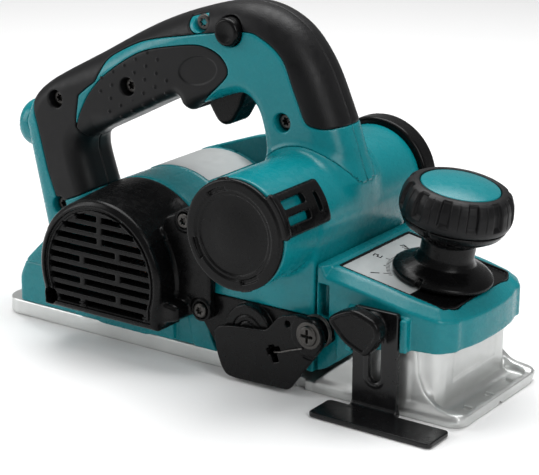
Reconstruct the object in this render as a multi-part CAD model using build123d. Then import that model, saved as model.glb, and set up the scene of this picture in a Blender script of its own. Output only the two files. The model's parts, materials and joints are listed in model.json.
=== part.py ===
from build123d import *
import os
from math import atan2, cos, degrees, hypot, pi, radians, sin

# Electric hand planer with an 82 mm cutter. Millimetres, +X towards the front knob,
# +Z up, -Y the operator's right. The origin is on the sole plane, mid-length, mid-width.

# ---- driving dimensions -------------------------------------------------------------
sole_length = 295.0
sole_width = 82.0
half_width = sole_width / 2
rear_end = -sole_length / 2
front_end = sole_length / 2
rear_sole_top = 9.0

drum_x, drum_z = 27.0, 28.0
cut_radius = 28.0
drum_radius = 26.2
chamber_radius = 31.0

motor_x, motor_z = -58.5, 45.0
motor_housing_radius = 44.0
motor_sleeve_radius = 39.5      # the right end, inside the vent cover
motor_step_y = -22.0
motor_bore_radius = 33.5
motor_left_end = 56.0

duct_x, duct_z = 38.5, 89.0
duct_radius = 28.5
duct_bore_radius = 23.5
duct_right_end = -74.5
duct_left_end = 54.0

drum_pulley_radius = 16.0
motor_pulley_radius = 12.0
belt_thickness = 2.4
belt_y = 63.0
belt_width = 9.0

side_wall = 44.0
plate_inner, plate_outer = -41.7, -44.7
handle_half_thickness = 18.0

knob_tilt = 10.0
knob_x, knob_z = 111.8, 61.5
depth_travel = 4.0

guard_pivot_x, guard_pivot_z = 67.7, 36.3
gauge_x = 101.8
gauge_screw_z = 47.0

fit = 0.05      # radial clearance of a running fit
gap = 0.4       # clearance between bodies that move past each other


# ---- helpers ------------------------------------------------------------------------
def block(x0, x1, y0, y1, z0, z1):
    size = Box(x1 - x0, y1 - y0, z1 - z0)
    return Pos((x0 + x1) / 2, (y0 + y1) / 2, (z0 + z1) / 2) * size


def rod(x, z, radius, y0, y1):
    """A cylinder along Y."""
    return Pos(x, (y0 + y1) / 2, z) * Rot(90, 0, 0) * Cylinder(radius, y1 - y0)


def ring(x, z, outer, inner, y0, y1):
    return rod(x, z, outer, y0, y1) - rod(x, z, inner, y0, y1)


def side_face(outline, y):
    """A face in the XZ plane, from points or from ready edges, that extrudes towards -Y."""
    plane = Plane(origin=(0, y, 0), x_dir=(1, 0, 0), z_dir=(0, -1, 0))
    if isinstance(outline, list):
        outline = Polyline(*outline, close=True)
    return plane * make_face(outline)


def side_prism(outline, y0, y1):
    return extrude(side_face(outline, y1), amount=y1 - y0)


def plan_prism(points, z0, z1):
    return extrude(Pos(0, 0, z0) * make_face(Polyline(*points, close=True)), amount=z1 - z0)


def mirrored_y(points):
    """Close a half outline, given at negative Y, over the mid-plane."""
    return points + [(x, -y) for x, y in reversed(points)]


def along_y(solid):
    """Turn a solid drawn around +Z so that it lies around +Y."""
    return Rot(-90, 0, 0) * solid


def polar(x, z, radius, angle):
    return (x + radius * cos(radians(angle)), z + radius * sin(radians(angle)))


def loop_prism(grow, y0, y1, drum_r=drum_pulley_radius, motor_r=motor_pulley_radius):
    """The outline of a belt around both pulleys, grown outwards, as a solid along Y."""
    centre_distance = hypot(drum_x - motor_x, drum_z - motor_z)
    slope = atan2(drum_z - motor_z, drum_x - motor_x)
    r_motor = motor_r + grow
    r_drum = drum_r + grow
    lean = atan2((r_drum - r_motor), centre_distance)
    above = degrees(slope + pi / 2 + lean)
    below = degrees(slope - pi / 2 - lean)
    motor_top = polar(motor_x, motor_z, r_motor, above)
    motor_low = polar(motor_x, motor_z, r_motor, below)
    drum_top = polar(drum_x, drum_z, r_drum, above)
    drum_low = polar(drum_x, drum_z, r_drum, below)
    middle = side_prism([motor_top, motor_low, drum_low, drum_top], y0, y1)
    return middle + rod(motor_x, motor_z, r_motor, y0, y1) + rod(drum_x, drum_z, r_drum, y0, y1)


def save(node, *solids):
    solids = [s for item in solids for s in (item.solids() if hasattr(item, "solids") else [item])]
    shape = solids[0] if len(solids) == 1 else Compound(children=solids)
    export_step(shape, f"parts/{node}.step")


os.makedirs("parts", exist_ok=True)
knob_plane = Plane(origin=(knob_x, 0, knob_z), x_dir=(cos(radians(knob_tilt)), 0, -sin(radians(knob_tilt))),
                   z_dir=(sin(radians(knob_tilt)), 0, cos(radians(knob_tilt))))
depth_shift = Vector(sin(radians(knob_tilt)), 0, cos(radians(knob_tilt))) * depth_travel

# ---- rear sole ----------------------------------------------------------------------
base_screw_places = [(x, y) for x in (-122, -24) for y in (-29, 29)]
rear_base = block(rear_end, drum_x, -half_width, half_width, 0, rear_sole_top)
rear_base = fillet(rear_base.edges().filter_by(Axis.Z).group_by(Axis.X)[0], 11)
rear_base -= rod(drum_x, drum_z, cut_radius + 1.6, -50, 50)
rear_base -= block(drum_x - 8.4, drum_x + 1, -50, 50, -1, 3)
for x, y in base_screw_places:
    rear_base -= Pos(x, y, 1.5) * Cone(4.8, 2.5, 3)
    rear_base -= Pos(x, y, 5) * Cylinder(2.5, 10)
save("rear_base", rear_base)

base_screws = []
for x, y in base_screw_places:
    head = Pos(x, y, 1.5) * Cone(4.8, 2.5, 3)
    shank = Pos(x, y, 10.5) * Cylinder(2.5, 15)
    socket = Pos(x, y, 0.7) * extrude(RegularPolygon(1.7, 6), amount=1.4, both=True)
    base_screws.append(head + shank - socket)
save("base_screws", *base_screws)

# ---- main housing -------------------------------------------------------------------
body_floor = rear_sole_top
rear_slope = [(-135.5, body_floor), (-135.5, 24), (-130.5, 34.5), (-114.5, 50.5), (-94, 64), (-12, 64),
              (-12, body_floor)]
block_top = [(64, 75), (66, duct_z), (11, duct_z + 6), (-4, 85), (-24, 80), (-24, 66)]
raised_floor = body_floor + 1.9     # clears the front plate at its highest
drum_block_outline = [(-12, body_floor), (38, body_floor), (38, raised_floor), (62, raised_floor)] + block_top
envelope = side_prism(rear_slope, -half_width, half_width)
motor_drum = rod(motor_x, motor_z, motor_housing_radius, motor_step_y, motor_left_end)
motor_drum += rod(motor_x, motor_z, motor_sleeve_radius, -side_wall, motor_step_y)
envelope += motor_drum - block(-150, 60, -80, 80, -10, body_floor)
envelope += side_prism(drum_block_outline, plate_inner, side_wall)
envelope += side_prism([(-12, 42.5), (63, 42.5)] + block_top, -side_wall, -40)
envelope += rod(duct_x, duct_z, duct_radius, duct_right_end, duct_left_end)
bearing_wall = loop_prism(13.0, side_wall - 2, motor_left_end)
envelope += bearing_wall - block(-150, 90, -80, 80, -10, body_floor)
end_wall_outline = [(-75, 70), (-75, 86.6), (-66, 90), (-39, 99.5), (-14, 106), (8, 106), (8, 70)]
end_wall = side_prism(end_wall_outline, 50, motor_left_end)
envelope += end_wall - rod(duct_x, duct_z, 33.4, 49, 60)

housing = envelope
housing -= rod(motor_x, motor_z, motor_bore_radius, -side_wall - 1, 40)
housing -= rod(motor_x, motor_z, 13.0, 30, 54)
air_space = ring(motor_x, motor_z, 41.2, motor_bore_radius - 0.5, -19.5, 38)
air_space -= block(-150, 50, -90, 90, -5, 12)
for angle in (45, 135):
    rib = Pos(motor_x, 0, motor_z) * Rot(0, angle, 0) * Box(100, 100, 6)
    air_space -= rib
housing -= air_space
housing -= rod(motor_x, motor_z, 7.0, 50, 60)
housing -= rod(drum_x, drum_z, chamber_radius, plate_inner - 1, 41.4)
housing -= rod(drum_x, drum_z, 13.0, 41, 51)
housing -= rod(drum_x, drum_z, 9.0, 50, 60)
housing -= rod(duct_x, duct_z, duct_bore_radius, duct_right_end - 1, duct_left_end + 1)
housing -= block(20, 53, -38, 38, 50, duct_z)
cavity_top = 33.0
housing -= block(-127, -98, -36, 36, body_floor - 1, cavity_top)
for x, y in base_screw_places:
    if x > -90:
        housing -= Pos(x, y, 13.5) * Cylinder(2.5, 9)
housing_bosses = [Pos(x, y, (body_floor + cavity_top) / 2) * Cylinder(6, cavity_top - body_floor)
                  for x, y in base_screw_places if x < -90]
for boss, (x, y) in zip(housing_bosses, base_screw_places[:2]):
    housing += boss - Pos(x, y, 13.5) * Cylinder(2.5, 9.1)

# ---- nose shell ---------------------------------------------------------------------
nose_back = 64.5
nose_half_outline = [(117, -side_wall), (133, -41.5), (139.5, -33)]
nose_edges = [Line((nose_back, -side_wall), nose_half_outline[0]),
              Line(nose_half_outline[0], nose_half_outline[1]),
              Line(nose_half_outline[1], nose_half_outline[2]),
              ThreePointArc(nose_half_outline[2], (143, 0), (139.5, 33)),
              Line((139.5, 33), (133, 41.5)),
              Line((133, 41.5), (117, side_wall)),
              Line((117, side_wall), (nose_back, side_wall)),
              Line((nose_back, side_wall), (nose_back, -side_wall))]
nose_plan = make_face(Curve() + nose_edges)
nose = extrude(Pos(0, 0, 8) * nose_plan, amount=70)
skirt_profile = [(nose_back, 13), (70, 15), (88, 29), (116, 36.5), (145, 36.5), (145, 90), (nose_back, 90)]
nose &= side_prism(skirt_profile, -60, 60)
rim_height = 0.2
tray_floor = -2.8
above_rim = knob_plane * Pos(0, 0, rim_height + 30) * Box(200, 200, 60)
nose -= above_rim
rim_face = nose.faces().sort_by(Axis((0, 0, 0), knob_plane.z_dir))[-1]
bevel_edges = [e for e in rim_face.edges() if e.center().X > nose_back + 2]
nose = chamfer(bevel_edges, 6.8, 4.6, reference=rim_face)
inner_outline = mirrored_y([(nose_back - 1, -41), (116, -41), (132, -38.5), (136, -31)])
roof_cut = knob_plane * Pos(0, 0, tray_floor - 2.2 - 40) * Box(200, 200, 80)
nose -= plan_prism(inner_outline, 0, 90) & roof_cut
recess_outline = mirrored_y([(-41, -34.5), (20, -34.5), (23.8, -27)])
nose -= knob_plane * plan_prism(recess_outline, tray_floor, 20)
nose -= knob_plane * Cylinder(11, 30)
nose -= rod(gauge_x, gauge_screw_z, 5.0, -50, -36)
for x0, x1, z0 in ((84.6, 88.2, 36), (115.6, 118.8, 36.8)):
    nose += block(x0, x1, -48, -side_wall + 0.6, z0, 51)
slot_window = block(nose_back - 1, 72.5, -50, -39, 43, 61)
pivot_pocket = block(nose_back - 1, 77, -50, plate_inner, 8, 42.6)
pivot_boss = block(nose_back, 77, plate_inner, -36.5, 29, 42.6)
nose = nose - slot_window - pivot_pocket + pivot_boss
nose -= rod(guard_pivot_x, guard_pivot_z, 2.5, -50, -30)
save("front_shell", nose)

tray_inside = mirrored_y([(-39.8, -33.3), (19.4, -33.3), (22.6, -26.6)])
dial_base = plan_prism(recess_outline, tray_floor, rim_height - 0.2)
dial_base -= plan_prism(tray_inside, tray_floor + 1.6, 5) + Cylinder(11, 10)
save("dial_base", knob_plane * dial_base)
plate_outline = mirrored_y([(-39.6, -33.1), (0, -33.1)])
dial_plate = plan_prism(plate_outline, tray_floor + 1.6, tray_floor + 2.1) - Cylinder(19.5, 10)
save("dial_plate", knob_plane * dial_plate)

gauge_insert = ring(gauge_x, gauge_screw_z, 5.0, 3.0 + fit, -44, -37.5)
save("gauge_insert", gauge_insert)

# ---- front base casting -------------------------------------------------------------
front_plan = mirrored_y([(38, -38.5), (56, -38.5), (57, -half_width), (front_end, -half_width)])
front_plate = plan_prism(front_plan, 0, 6)
front_plate = fillet(front_plate.edges().filter_by(Axis.Z).group_by(Axis.X)[-1], 9)
front_base = front_plate - plan_prism(mirrored_y([(122, -33), (front_end - 4, -33)]), 4.2, 7)
web_outline = [(62, 5), (66, 10), (86, 26), (98, 37.3), (119, 37.3), (119, 13), (128, 11), (144, 6), (144, 5)]
for y0 in (-40.4, 37.4):
    front_base += side_prism(web_outline, y0, y0 + 3)
pillar = block(84, 132, -37.4, 37.4, 5, 44)
pillar = fillet(pillar.edges().filter_by(Axis.Z), 9)
front_base += pillar
front_base += block(84, 118, -39, 39, 5, 30)
front_base -= block(88, 128, -30, 30, 9, 60)
screw_boss = knob_plane * Pos(0, 0, -36) * Cylinder(9, 60)
front_base += screw_boss & block(60, 140, -30, 30, 5, 44)
for y in (-20, 0, 20):
    front_base += block(front_end - 7, front_end - 0.5, y - 1.2, y + 1.2, 3.5, 6.6)
insert_relief = block(gauge_x - 7.3, gauge_x + 7.2, -42, -36.4, 37.6, 60)    # clears the insert and stud
front_base -= insert_relief
mouth_cut = rod(drum_x, drum_z, cut_radius + 1.8, -50, 50)
front_base -= mouth_cut
front_base -= Pos(-depth_shift.X, 0, -depth_shift.Z) * mouth_cut
front_base -= block(30, 39.5, -50, 50, -1, 7)
front_base -= knob_plane * Pos(0, 0, -35) * Cylinder(4 + gap, 90)
v_groove = Rot(0, 90, 0) * extrude(RegularPolygon(2.4, 4), amount=160)
front_base -= Pos(30, 0, 0) * v_groove
save("front_base", front_base)

# ---- depth knob ---------------------------------------------------------------------
lobes = 12
skirt_bottom = rim_height + gap
core_profile = Polyline((0, skirt_bottom), (25.4, skirt_bottom), (26, 3.0), (23, 5.2), (15.5, 8.6),
                        (13.8, 12.5), (13.8, 20.5), (16.5, 23.2), (21, 24.8), (25, 27.4), (27.2, 31.4),
                        (20.3, 31.4), (20.3, 45), (0, 45), close=True)
knob_axis_plane = Plane.XZ
knob_core = revolve(knob_axis_plane * make_face(core_profile), Axis.Z)
knob_core -= Pos(0, -25, 2) * Box(3, 4, 8)
grip_profile = Polyline((20.3, 31.6), (27.3, 31.6), (28.6, 35), (28.7, 38), (27.9, 43.5), (26, 47.8),
                        (23, 49.4), (20.3, 49.6), close=True)
knob_grip = revolve(knob_axis_plane * make_face(grip_profile), Axis.Z)
for i in range(lobes):
    knob_grip -= Rot(0, 0, i * 360 / lobes) * Pos(29.6, 0, 42) * Cylinder(2.4, 11)
cap_radius, cap_edge, cap_rise = 20.2, 49.2, 3.1
dome_radius = (cap_radius ** 2 + cap_rise ** 2) / (2 * cap_rise)
knob_cap = Pos(0, 0, 49.1) * Cylinder(cap_radius, 8)
knob_cap &= Pos(0, 0, cap_edge + cap_rise - dome_radius) * Sphere(dome_radius)
depth_screw = Pos(0, 0, -23.5) * Cylinder(4, 65)
knob_core -= depth_screw
collar = Pos(0, 0, -2) * Cylinder(8, 6)
save("knob_core", knob_plane * (knob_core + (collar - depth_screw)))
save("knob_grip", knob_plane * knob_grip)
save("knob_cap", knob_plane * knob_cap)
save("depth_screw", knob_plane * depth_screw)

# ---- handle -------------------------------------------------------------------------
outer_points = [(-151, 106), (-139, 126), (-100, 149.5), (-58, 172), (-22, 185), (4, 188), (26, 180),
                (42, 162.5), (54, 138), (61, 120)]
outer_line = Spline(outer_points, tangents=[(0, 1), (0.45, -1)])
inner_points = [(-103, 74), (-109, 98), (-98, 106.5), (-42, 135.5), (-40, 129.5), (-34, 127), (-28, 134),
                (4, 142), (10, 131), (14, 117), (14, 100)]
front_foot = [outer_points[-1], (66, 104), (60, 88), (14, 88), inner_points[-1]]
rear_foot = [inner_points[0], (-98, 60), (-134, 32), outer_points[0]]
inner_line = Polyline(*reversed(inner_points))
handle_edges = Curve() + [outer_line, Polyline(*front_foot), inner_line, Polyline(*rear_foot)]
handle_face = side_face(handle_edges, 0)


def handle_half(sign):
    return extrude(handle_face, amount=-sign * handle_half_thickness)


spine_points = [(-140, 100), (-128, 122), (-95, 140), (-58, 158), (-22, 172), (2, 175), (20, 166),
                (33, 149), (43, 131)]
spine_line = Spline(spine_points, tangents=[(0.1, 1), (0.5, -1)])
spine_rest = Polyline(spine_points[-1], (80, 131), (80, 200), (-170, 200), (-170, 100), spine_points[0])
spine_edges = Curve() + [spine_line, spine_rest]
spine_zone = side_prism(spine_edges, -30, 30)
lower_points = [(-120, 84), (-112, 108), (-86, 128), (-50, 147), (-24, 151)]
lower_line = Spline(lower_points, tangents=[(0, 1), (1, 0)])
lower_rest = Polyline(lower_points[-1], (-30, 138), (-36, 137), (-44, 100), (-90, 70), lower_points[0])
lower_edges = Curve() + [lower_line, lower_rest]
lower_zone = side_prism(lower_edges, -30, 30)

trigger_pocket = block(-32, 4.5, -9.6, 9.6, 120, 157)
switch_pocket = block(-40, 6, -9.6, 9.6, 157, 170)
button_x, button_z, button_radius = -7.0, 174.0, 7.4
button_hole = rod(button_x, button_z, button_radius + gap, -25, -5.5)
handle_screw_places = [(-125, 122), (-74, 136), (-26, 176), (26, 131), (-124, 61)]
screw_head_y = -handle_half_thickness + 4
screw_heads = [rod(x, z, 4.4, screw_head_y, screw_head_y + 3) for x, z in handle_screw_places]
screw_shanks = [rod(x, z, 2.1, screw_head_y + 3, 12) for x, z in handle_screw_places]
screw_wells = [rod(x, z, 4.9, -30, screw_head_y) for x, z in handle_screw_places]

handle_cuts = [envelope, trigger_pocket, switch_pocket, button_hole]
handle_cuts += screw_heads + screw_shanks + screw_wells
pin_x, pin_z = -1.5, 147.0
inlet_z, cable_hole_radius = 101.5, 3.8
cable_hole = Pos(-152, 0, inlet_z) * Rot(0, 90, 0) * Cylinder(cable_hole_radius, 60)
handle_cuts.append(cable_hole)
handle_cuts.append(rod(pin_x, pin_z, 2.0, -13, 13))
for sign, side in ((-1, "right"), (1, "left")):
    whole = handle_half(sign)
    for cut in handle_cuts:
        whole -= cut
    save("handle_" + side, whole - spine_zone - lower_zone)
    if side == "right":
        right_whole = whole
    else:
        left_whole = whole
both = right_whole + left_whole
save("grip_spine", both & spine_zone)
save("grip_lower", (both & lower_zone) - spine_zone)
save("handle_screws", *[h + s for h, s in zip(screw_heads, screw_shanks)])

cord_inlet = Pos(-150, 0, inlet_z) * Rot(0, -90, 0) * Cylinder(14, 20)
cord_inlet = fillet(cord_inlet.edges().sort_by(Axis.X)[0], 9)
cord_inlet -= cable_hole
cord_inlet -= both
cord_inlet &= block(-170, -140, -20, 20, 60, 120)
save("cord_inlet", cord_inlet.solids().sort_by(Axis.X)[0])

switch_body = block(-38, 4, -9.2, 9.2, 158.5, 169.5)
save("switch_body", switch_body)
save("trigger_pin", rod(pin_x, pin_z, 2.0, -13, 13))

trigger_outline = [(-28.5, 146), (-28, 133), (-21.5, 123), (-17, 121), (-12, 123), (-6, 133), (-3.5, 141),
                   (3, 144), (3, 151), (-3, 152)]
trigger = side_prism(trigger_outline, -9, 9) - rod(pin_x, pin_z, 2.0 + fit, -20, 20)
save("trigger", trigger)
lock_button = rod(button_x, button_z, button_radius, -21.8, -13.2)
lock_button = fillet(lock_button.edges().sort_by(Axis.Y)[0], 1.8)
save("lock_button", lock_button)

# ---- chip nozzle and chip cover -----------------------------------------------------
nozzle_end, nozzle_radius, nozzle_bore_radius = 66.0, 32.0, 24.0
nozzle = ring(duct_x, duct_z, nozzle_radius, 21.0, duct_left_end, duct_left_end + 3)
nozzle += ring(duct_x, duct_z, nozzle_radius, nozzle_bore_radius, duct_left_end + 3, nozzle_end)
nozzle += ring(duct_x, duct_z, duct_bore_radius, 21.0, 40, duct_left_end)
save("chip_nozzle", nozzle)

cover_end, cover_back = -78.6, duct_right_end - gap
tongue_inner, tongue_outer = duct_radius + 0.7, duct_radius + 3.6
tongue_from, tongue_to = 5.0, 50.0
tongue_end = -38.8
cover = rod(duct_x, duct_z, 28.4, cover_end, cover_back)
cover = fillet(cover.edges().sort_by(Axis.Y)[0], 1.4)
cover -= rod(duct_x, duct_z, 25.2, cover_end + 2.6, cover_back + 1)
cover -= rod(duct_x, duct_z, 20.4, cover_end - 1, cover_end + 1.2)
spigot = ring(duct_x, duct_z, duct_bore_radius - fit, 20.6, cover_back - 2, duct_right_end + 6)
cover += spigot


def duct_sector(outer, inner, angle0, angle1, y0, y1):
    """A piece of a pipe around the duct axis between two angles."""
    reach = outer * 3
    wedge = [(duct_x, duct_z), polar(duct_x, duct_z, reach, angle0),
             polar(duct_x, duct_z, reach, (angle0 + angle1) / 2), polar(duct_x, duct_z, reach, angle1)]
    return ring(duct_x, duct_z, outer, inner, y0, y1) & side_prism(wedge, y0 - 1, y1 + 1)


tongue = duct_sector(tongue_outer, 27.0, tongue_from, tongue_to, cover_end + 0.6, cover_back)
tongue += duct_sector(tongue_outer, tongue_inner, tongue_from, tongue_to, cover_back - 0.5, tongue_end)
for angle0, angle1 in ((16.5, 24.5), (31.5, 40.5)):
    tongue -= duct_sector(tongue_outer + 1, tongue_inner - 0.3, angle0, angle1, -73.5, -55)
tongue -= duct_sector(tongue_outer + 1, tongue_inner - 0.3, 18.5, 37, -47.5, -44.3)
cover += tongue
save("chip_cover", cover)

# ---- vent cover on the motor's right end --------------------------------------------
vent_face, vent_back = -65.0, -side_wall
vent_radius = 40.6


def vent_solid(shrink, y0, y1):
    low = 21.5 + shrink
    disc = rod(motor_x, motor_z, vent_radius - shrink, y0, y1) - block(-150, 50, -90, 90, -20, low)
    return disc + block(-97 + shrink, -20 - shrink, y0, y1, low, motor_z)


vent_cover = vent_solid(0, vent_face, vent_back)
vent_cover = chamfer(vent_cover.faces().sort_by(Axis.Y)[0].edges(), 1.6)
vent_cover -= vent_solid(3, vent_face + 3, vent_back + 1)
vent_cover += ring(motor_x, motor_z, 14, 11, vent_face + 3, -46)
flare_length = motor_step_y - gap - vent_face
flare_mid = Plane(origin=(motor_x, vent_face + flare_length / 2, motor_z), z_dir=(0, 1, 0))
flare = flare_mid * Cone(vent_radius, motor_housing_radius, flare_length)
flare -= rod(motor_x, motor_z, motor_sleeve_radius + gap, vent_face - 1, 0)
flare &= side_prism([(-110, 64.5), (-94.2, 64.5), (-24.4, 64.5), (-24.4, 100), (-110, 100)], vent_face, 0)
vent_cover += flare
flank = side_prism([(-24, 36), (-5, 29), (4, 33), (4, 60), (-3, 80), (-11, 86.5), (-26, 80)], -50, vent_back)
foot = side_prism([(-28, 24), (-9, 29), (-9, 36), (-28, 38)], -60, vent_back)
vent_cover += (flank + foot) - rod(motor_x, motor_z, vent_radius - 2, -70, -40)
slot_pitch, slot_height, slot_field_radius = 6.0, 3.2, 35.0
for row in range(9):
    z = 25.8 + row * slot_pitch
    reach = (slot_field_radius ** 2 - (z + 2 - motor_z) ** 2) ** 0.5
    left = motor_x - reach
    right = motor_x + reach
    middle = motor_x - 2 + 1.2 * (row % 3)
    for x0, x1 in ((left, middle - 1.6), (middle + 1.6, right)):
        vent_cover -= block(x0, x1, vent_face - 1, vent_face + 3.2, z, z + slot_height)
hub_plate = ring(motor_x, motor_z, 15, 0.01, vent_face + 1.4, vent_face + 3)
vent_cover += hub_plate
flank_screw_places = [(-11.5, 80.5), (-1.5, 34)]
corner_screw_place = (-92.5, 27)
vent_cover += rod(*corner_screw_place, 5.8, vent_face + 1, vent_back)
vent_cover -= rod(*corner_screw_place, 4.3, vent_face - 1, -48)
# place, seat and length; the short one clears the drum
vent_screws = [(*flank_screw_places[0], -50, 12), (*flank_screw_places[1], -50, 7.6)]
vent_screws.append((*corner_screw_place, -48, 12))
for x, z, seat, length in vent_screws:
    vent_cover -= rod(x, z, 2.0, seat - 1, vent_back + 1)

# ---- drum side plate with the right bearing seat ------------------------------------
side_plate_outline = [(-7, 29), (-7, 42.2), (64, 42.2), (74, 41), (76, 31), (64, 28), (60, 14), (44, 9.5),
                      (8, 9.5)]
side_plate = side_prism(side_plate_outline, plate_outer, plate_inner)
side_plate += rod(drum_x, drum_z, 14, -49.4, plate_inner)
side_plate -= rod(drum_x, drum_z, 11, -48.6, -40)
side_plate -= rod(guard_pivot_x, guard_pivot_z, 2.5, -50, -40)
side_plate -= rod(*flank_screw_places[-1], 2.0, -50, -40)
save("drum_side_plate", side_plate)
save("vent_cover", vent_cover - side_plate)

vent_cover_screws = [rod(x, z, 4.0, seat - 2.2, seat) + rod(x, z, 2.0, seat, seat + length)
                     for x, z, seat, length in vent_screws]
for screw in vent_cover_screws:
    housing -= screw
save("vent_cover_screws", *vent_cover_screws)

# ---- blade guard --------------------------------------------------------------------
guard_back, guard_front = -50.0, -52.5
guard_outline = [(11.6, 29), (8, 26), (10, 13.7), (12.8, 6.5), (16, 2.6), (23, 2.0), (54.6, 3.1), (74.5, 30),
                 (75, 38), (70, 44), (60, 45), (48, 41.5), (40.3, 32.4), (23, 30.8)]
blade_guard = side_prism(guard_outline, guard_front, guard_back)
blade_guard += rod(guard_pivot_x, guard_pivot_z, 6.8, guard_front - 1.0, plate_outer - gap)
blade_guard -= rod(guard_pivot_x, guard_pivot_z, 2.5 + fit, -60, -40)
save("blade_guard", blade_guard)
pivot_screw = rod(guard_pivot_x, guard_pivot_z, 2.5, -57.0, -37.5)
pivot_screw += rod(guard_pivot_x, guard_pivot_z, 5.4, -57.2, -54.6)
pivot_screw += rod(guard_pivot_x, guard_pivot_z, 7.2, -54.8, -53.9)
save("guard_pivot_screw", pivot_screw)
spring_radius, spring_wire, spring_pitch = 8.4, 0.55, 1.5
spring_path = Helix(spring_pitch, 2.4 * spring_pitch, spring_radius)
spring_section = Plane(origin=spring_path @ 0, z_dir=spring_path % 0) * Circle(spring_wire)
guard_spring = sweep(spring_section, path=spring_path, is_frenet=True)
save("guard_spring", Pos(guard_pivot_x, -49.2, guard_pivot_z) * along_y(guard_spring))

# ---- rebate gauge and its thumb screw -----------------------------------------------
strip_front, strip_back = -47.6, -side_wall - gap
gauge = block(89, 114.6, strip_front, strip_back, 0.5, 55)
gauge -= block(gauge_x - 3.4, gauge_x + 3.4, -50, -40, 20.4, 47.2)
for z in (20.4, 47.2):
    gauge -= rod(gauge_x, z, 3.4, -50, -40)
foot_plate = block(77, 146, -69, strip_back, 0.5, 3.1)
foot_plate -= block(70, 89, strip_front - 1.6, -40, -1, 5) + block(114.6, 150, strip_front - 1.6, -40, -1, 5)
foot_plate = fillet(foot_plate.edges().filter_by(Axis.Z).group_by(Axis.Y)[0], 2.5)
gauge += foot_plate
save("rebate_gauge", gauge)

wing_outline = [(81.8, 50.3), (88, 55.2), (97, 58.5), (110.7, 54), (113, 46.5), (105, 34.5), (92.4, 39.5)]
wing = side_prism(wing_outline, -62, -53.5)
wing = fillet(wing.edges().filter_by(Axis.Y), 2.5)
thumb_screw = wing + rod(gauge_x, gauge_screw_z, 8.0, -53.6, strip_front - gap)
stud = rod(gauge_x, gauge_screw_z, 3.0, -57, -37)
save("gauge_thumb_screw", thumb_screw - stud)
save("gauge_screw_stud", stud)

# ---- cutter drum --------------------------------------------------------------------
drum = rod(drum_x, drum_z, drum_radius, -40.6, 40.6)
shaft = rod(drum_x, drum_z, 4.0, -48, -40) + rod(drum_x, drum_z, 5.0, 40, belt_y + 6)
shoulders = rod(drum_x, drum_z, 6.5, -41.2, -40) + rod(drum_x, drum_z, 7.5, 40, 41.6)
drum += shaft + shoulders
blades, clamps, bolts = [], [], []
for turn in (0, 180):
    def place(item):
        return Pos(drum_x, 0, drum_z) * Rot(0, turn + 35, 0) * item
    pocket = place(block(0.0, 16, -42, 42, 17.5, 30))
    drum -= pocket
    blades.append(place(block(0.0, 1.2, -half_width, half_width, 17.5, cut_radius - 0.05)))
    clamp = block(1.2, 9.6, -40.4, 40.4, 17.5, 24.8)
    for y in (-27, 0, 27):
        bolt = Pos(5.4, y, 0) * (Pos(0, 0, 17.7) * Cylinder(2.0, 14.2) + Pos(0, 0, 25.5) * Cylinder(3.4, 1.4))
        bolts.append(place(bolt))
        clamp -= Pos(5.4, y, 20) * Cylinder(2.0, 20)
        drum -= place(Pos(5.4, y, 14) * Cylinder(2.0, 7.0))
    clamps.append(place(clamp))
save("cutter_drum", drum)
save("planer_blades", *blades)
save("blade_clamps", *clamps)
save("blade_bolts", *bolts)
drum_bearings = [ring(drum_x, drum_z, 11, 4, -48.4, -41.4), ring(drum_x, drum_z, 13, 5, 41.8, 50)]
save("drum_bearings", *drum_bearings)


def pulley(x, z, radius, bore):
    wheel = rod(x, z, radius + 1.4, belt_y - 5.8, belt_y + 5.8)
    wheel -= ring(x, z, radius + 5, radius - 0.6, belt_y - 5.0, belt_y + 5.0)
    for i in range(4):
        wheel += ring(x, z, radius, radius - 0.8, belt_y - 4.2 + 2.3 * i, belt_y - 2.9 + 2.3 * i)
    return wheel - rod(x, z, bore, belt_y - 10, belt_y + 10)


save("drum_pulley", pulley(drum_x, drum_z, drum_pulley_radius, 5.0))
save("motor_pulley", pulley(motor_x, motor_z, motor_pulley_radius, 4.0))
belt = loop_prism(gap + belt_thickness, belt_y - belt_width / 2, belt_y + belt_width / 2)
belt -= loop_prism(gap, belt_y - 10, belt_y + 10)
save("drive_belt", belt)

belt_cover = loop_prism(10.6, motor_left_end, 74)
belt_cover = chamfer(belt_cover.faces().sort_by(Axis.Y)[-1].edges(), 3)
belt_cover -= loop_prism(8.0, motor_left_end - 1, 71)
belt_cover -= block(-150, 90, 50, 80, -10, body_floor - 4)
cover_lugs = [(-85, 45), (-14, 64.5), (53.5, 41)]
belt_cover_screws = []
for x, z in cover_lugs:
    belt_cover += rod(x, z, 5, motor_left_end, 60) - loop_prism(9.0, motor_left_end - 1, 71)
    belt_cover -= rod(x, z, 2.0, 50, 61)
    housing += rod(x, z, 5, side_wall - 2, motor_left_end)
    screw = rod(x, z, 3.8, 60, 62.2) + rod(x, z, 2.0, 48, 60)
    housing -= screw
    belt_cover -= screw
    belt_cover_screws.append(screw)
save("belt_cover", belt_cover)
save("belt_cover_screws", *belt_cover_screws)

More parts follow.
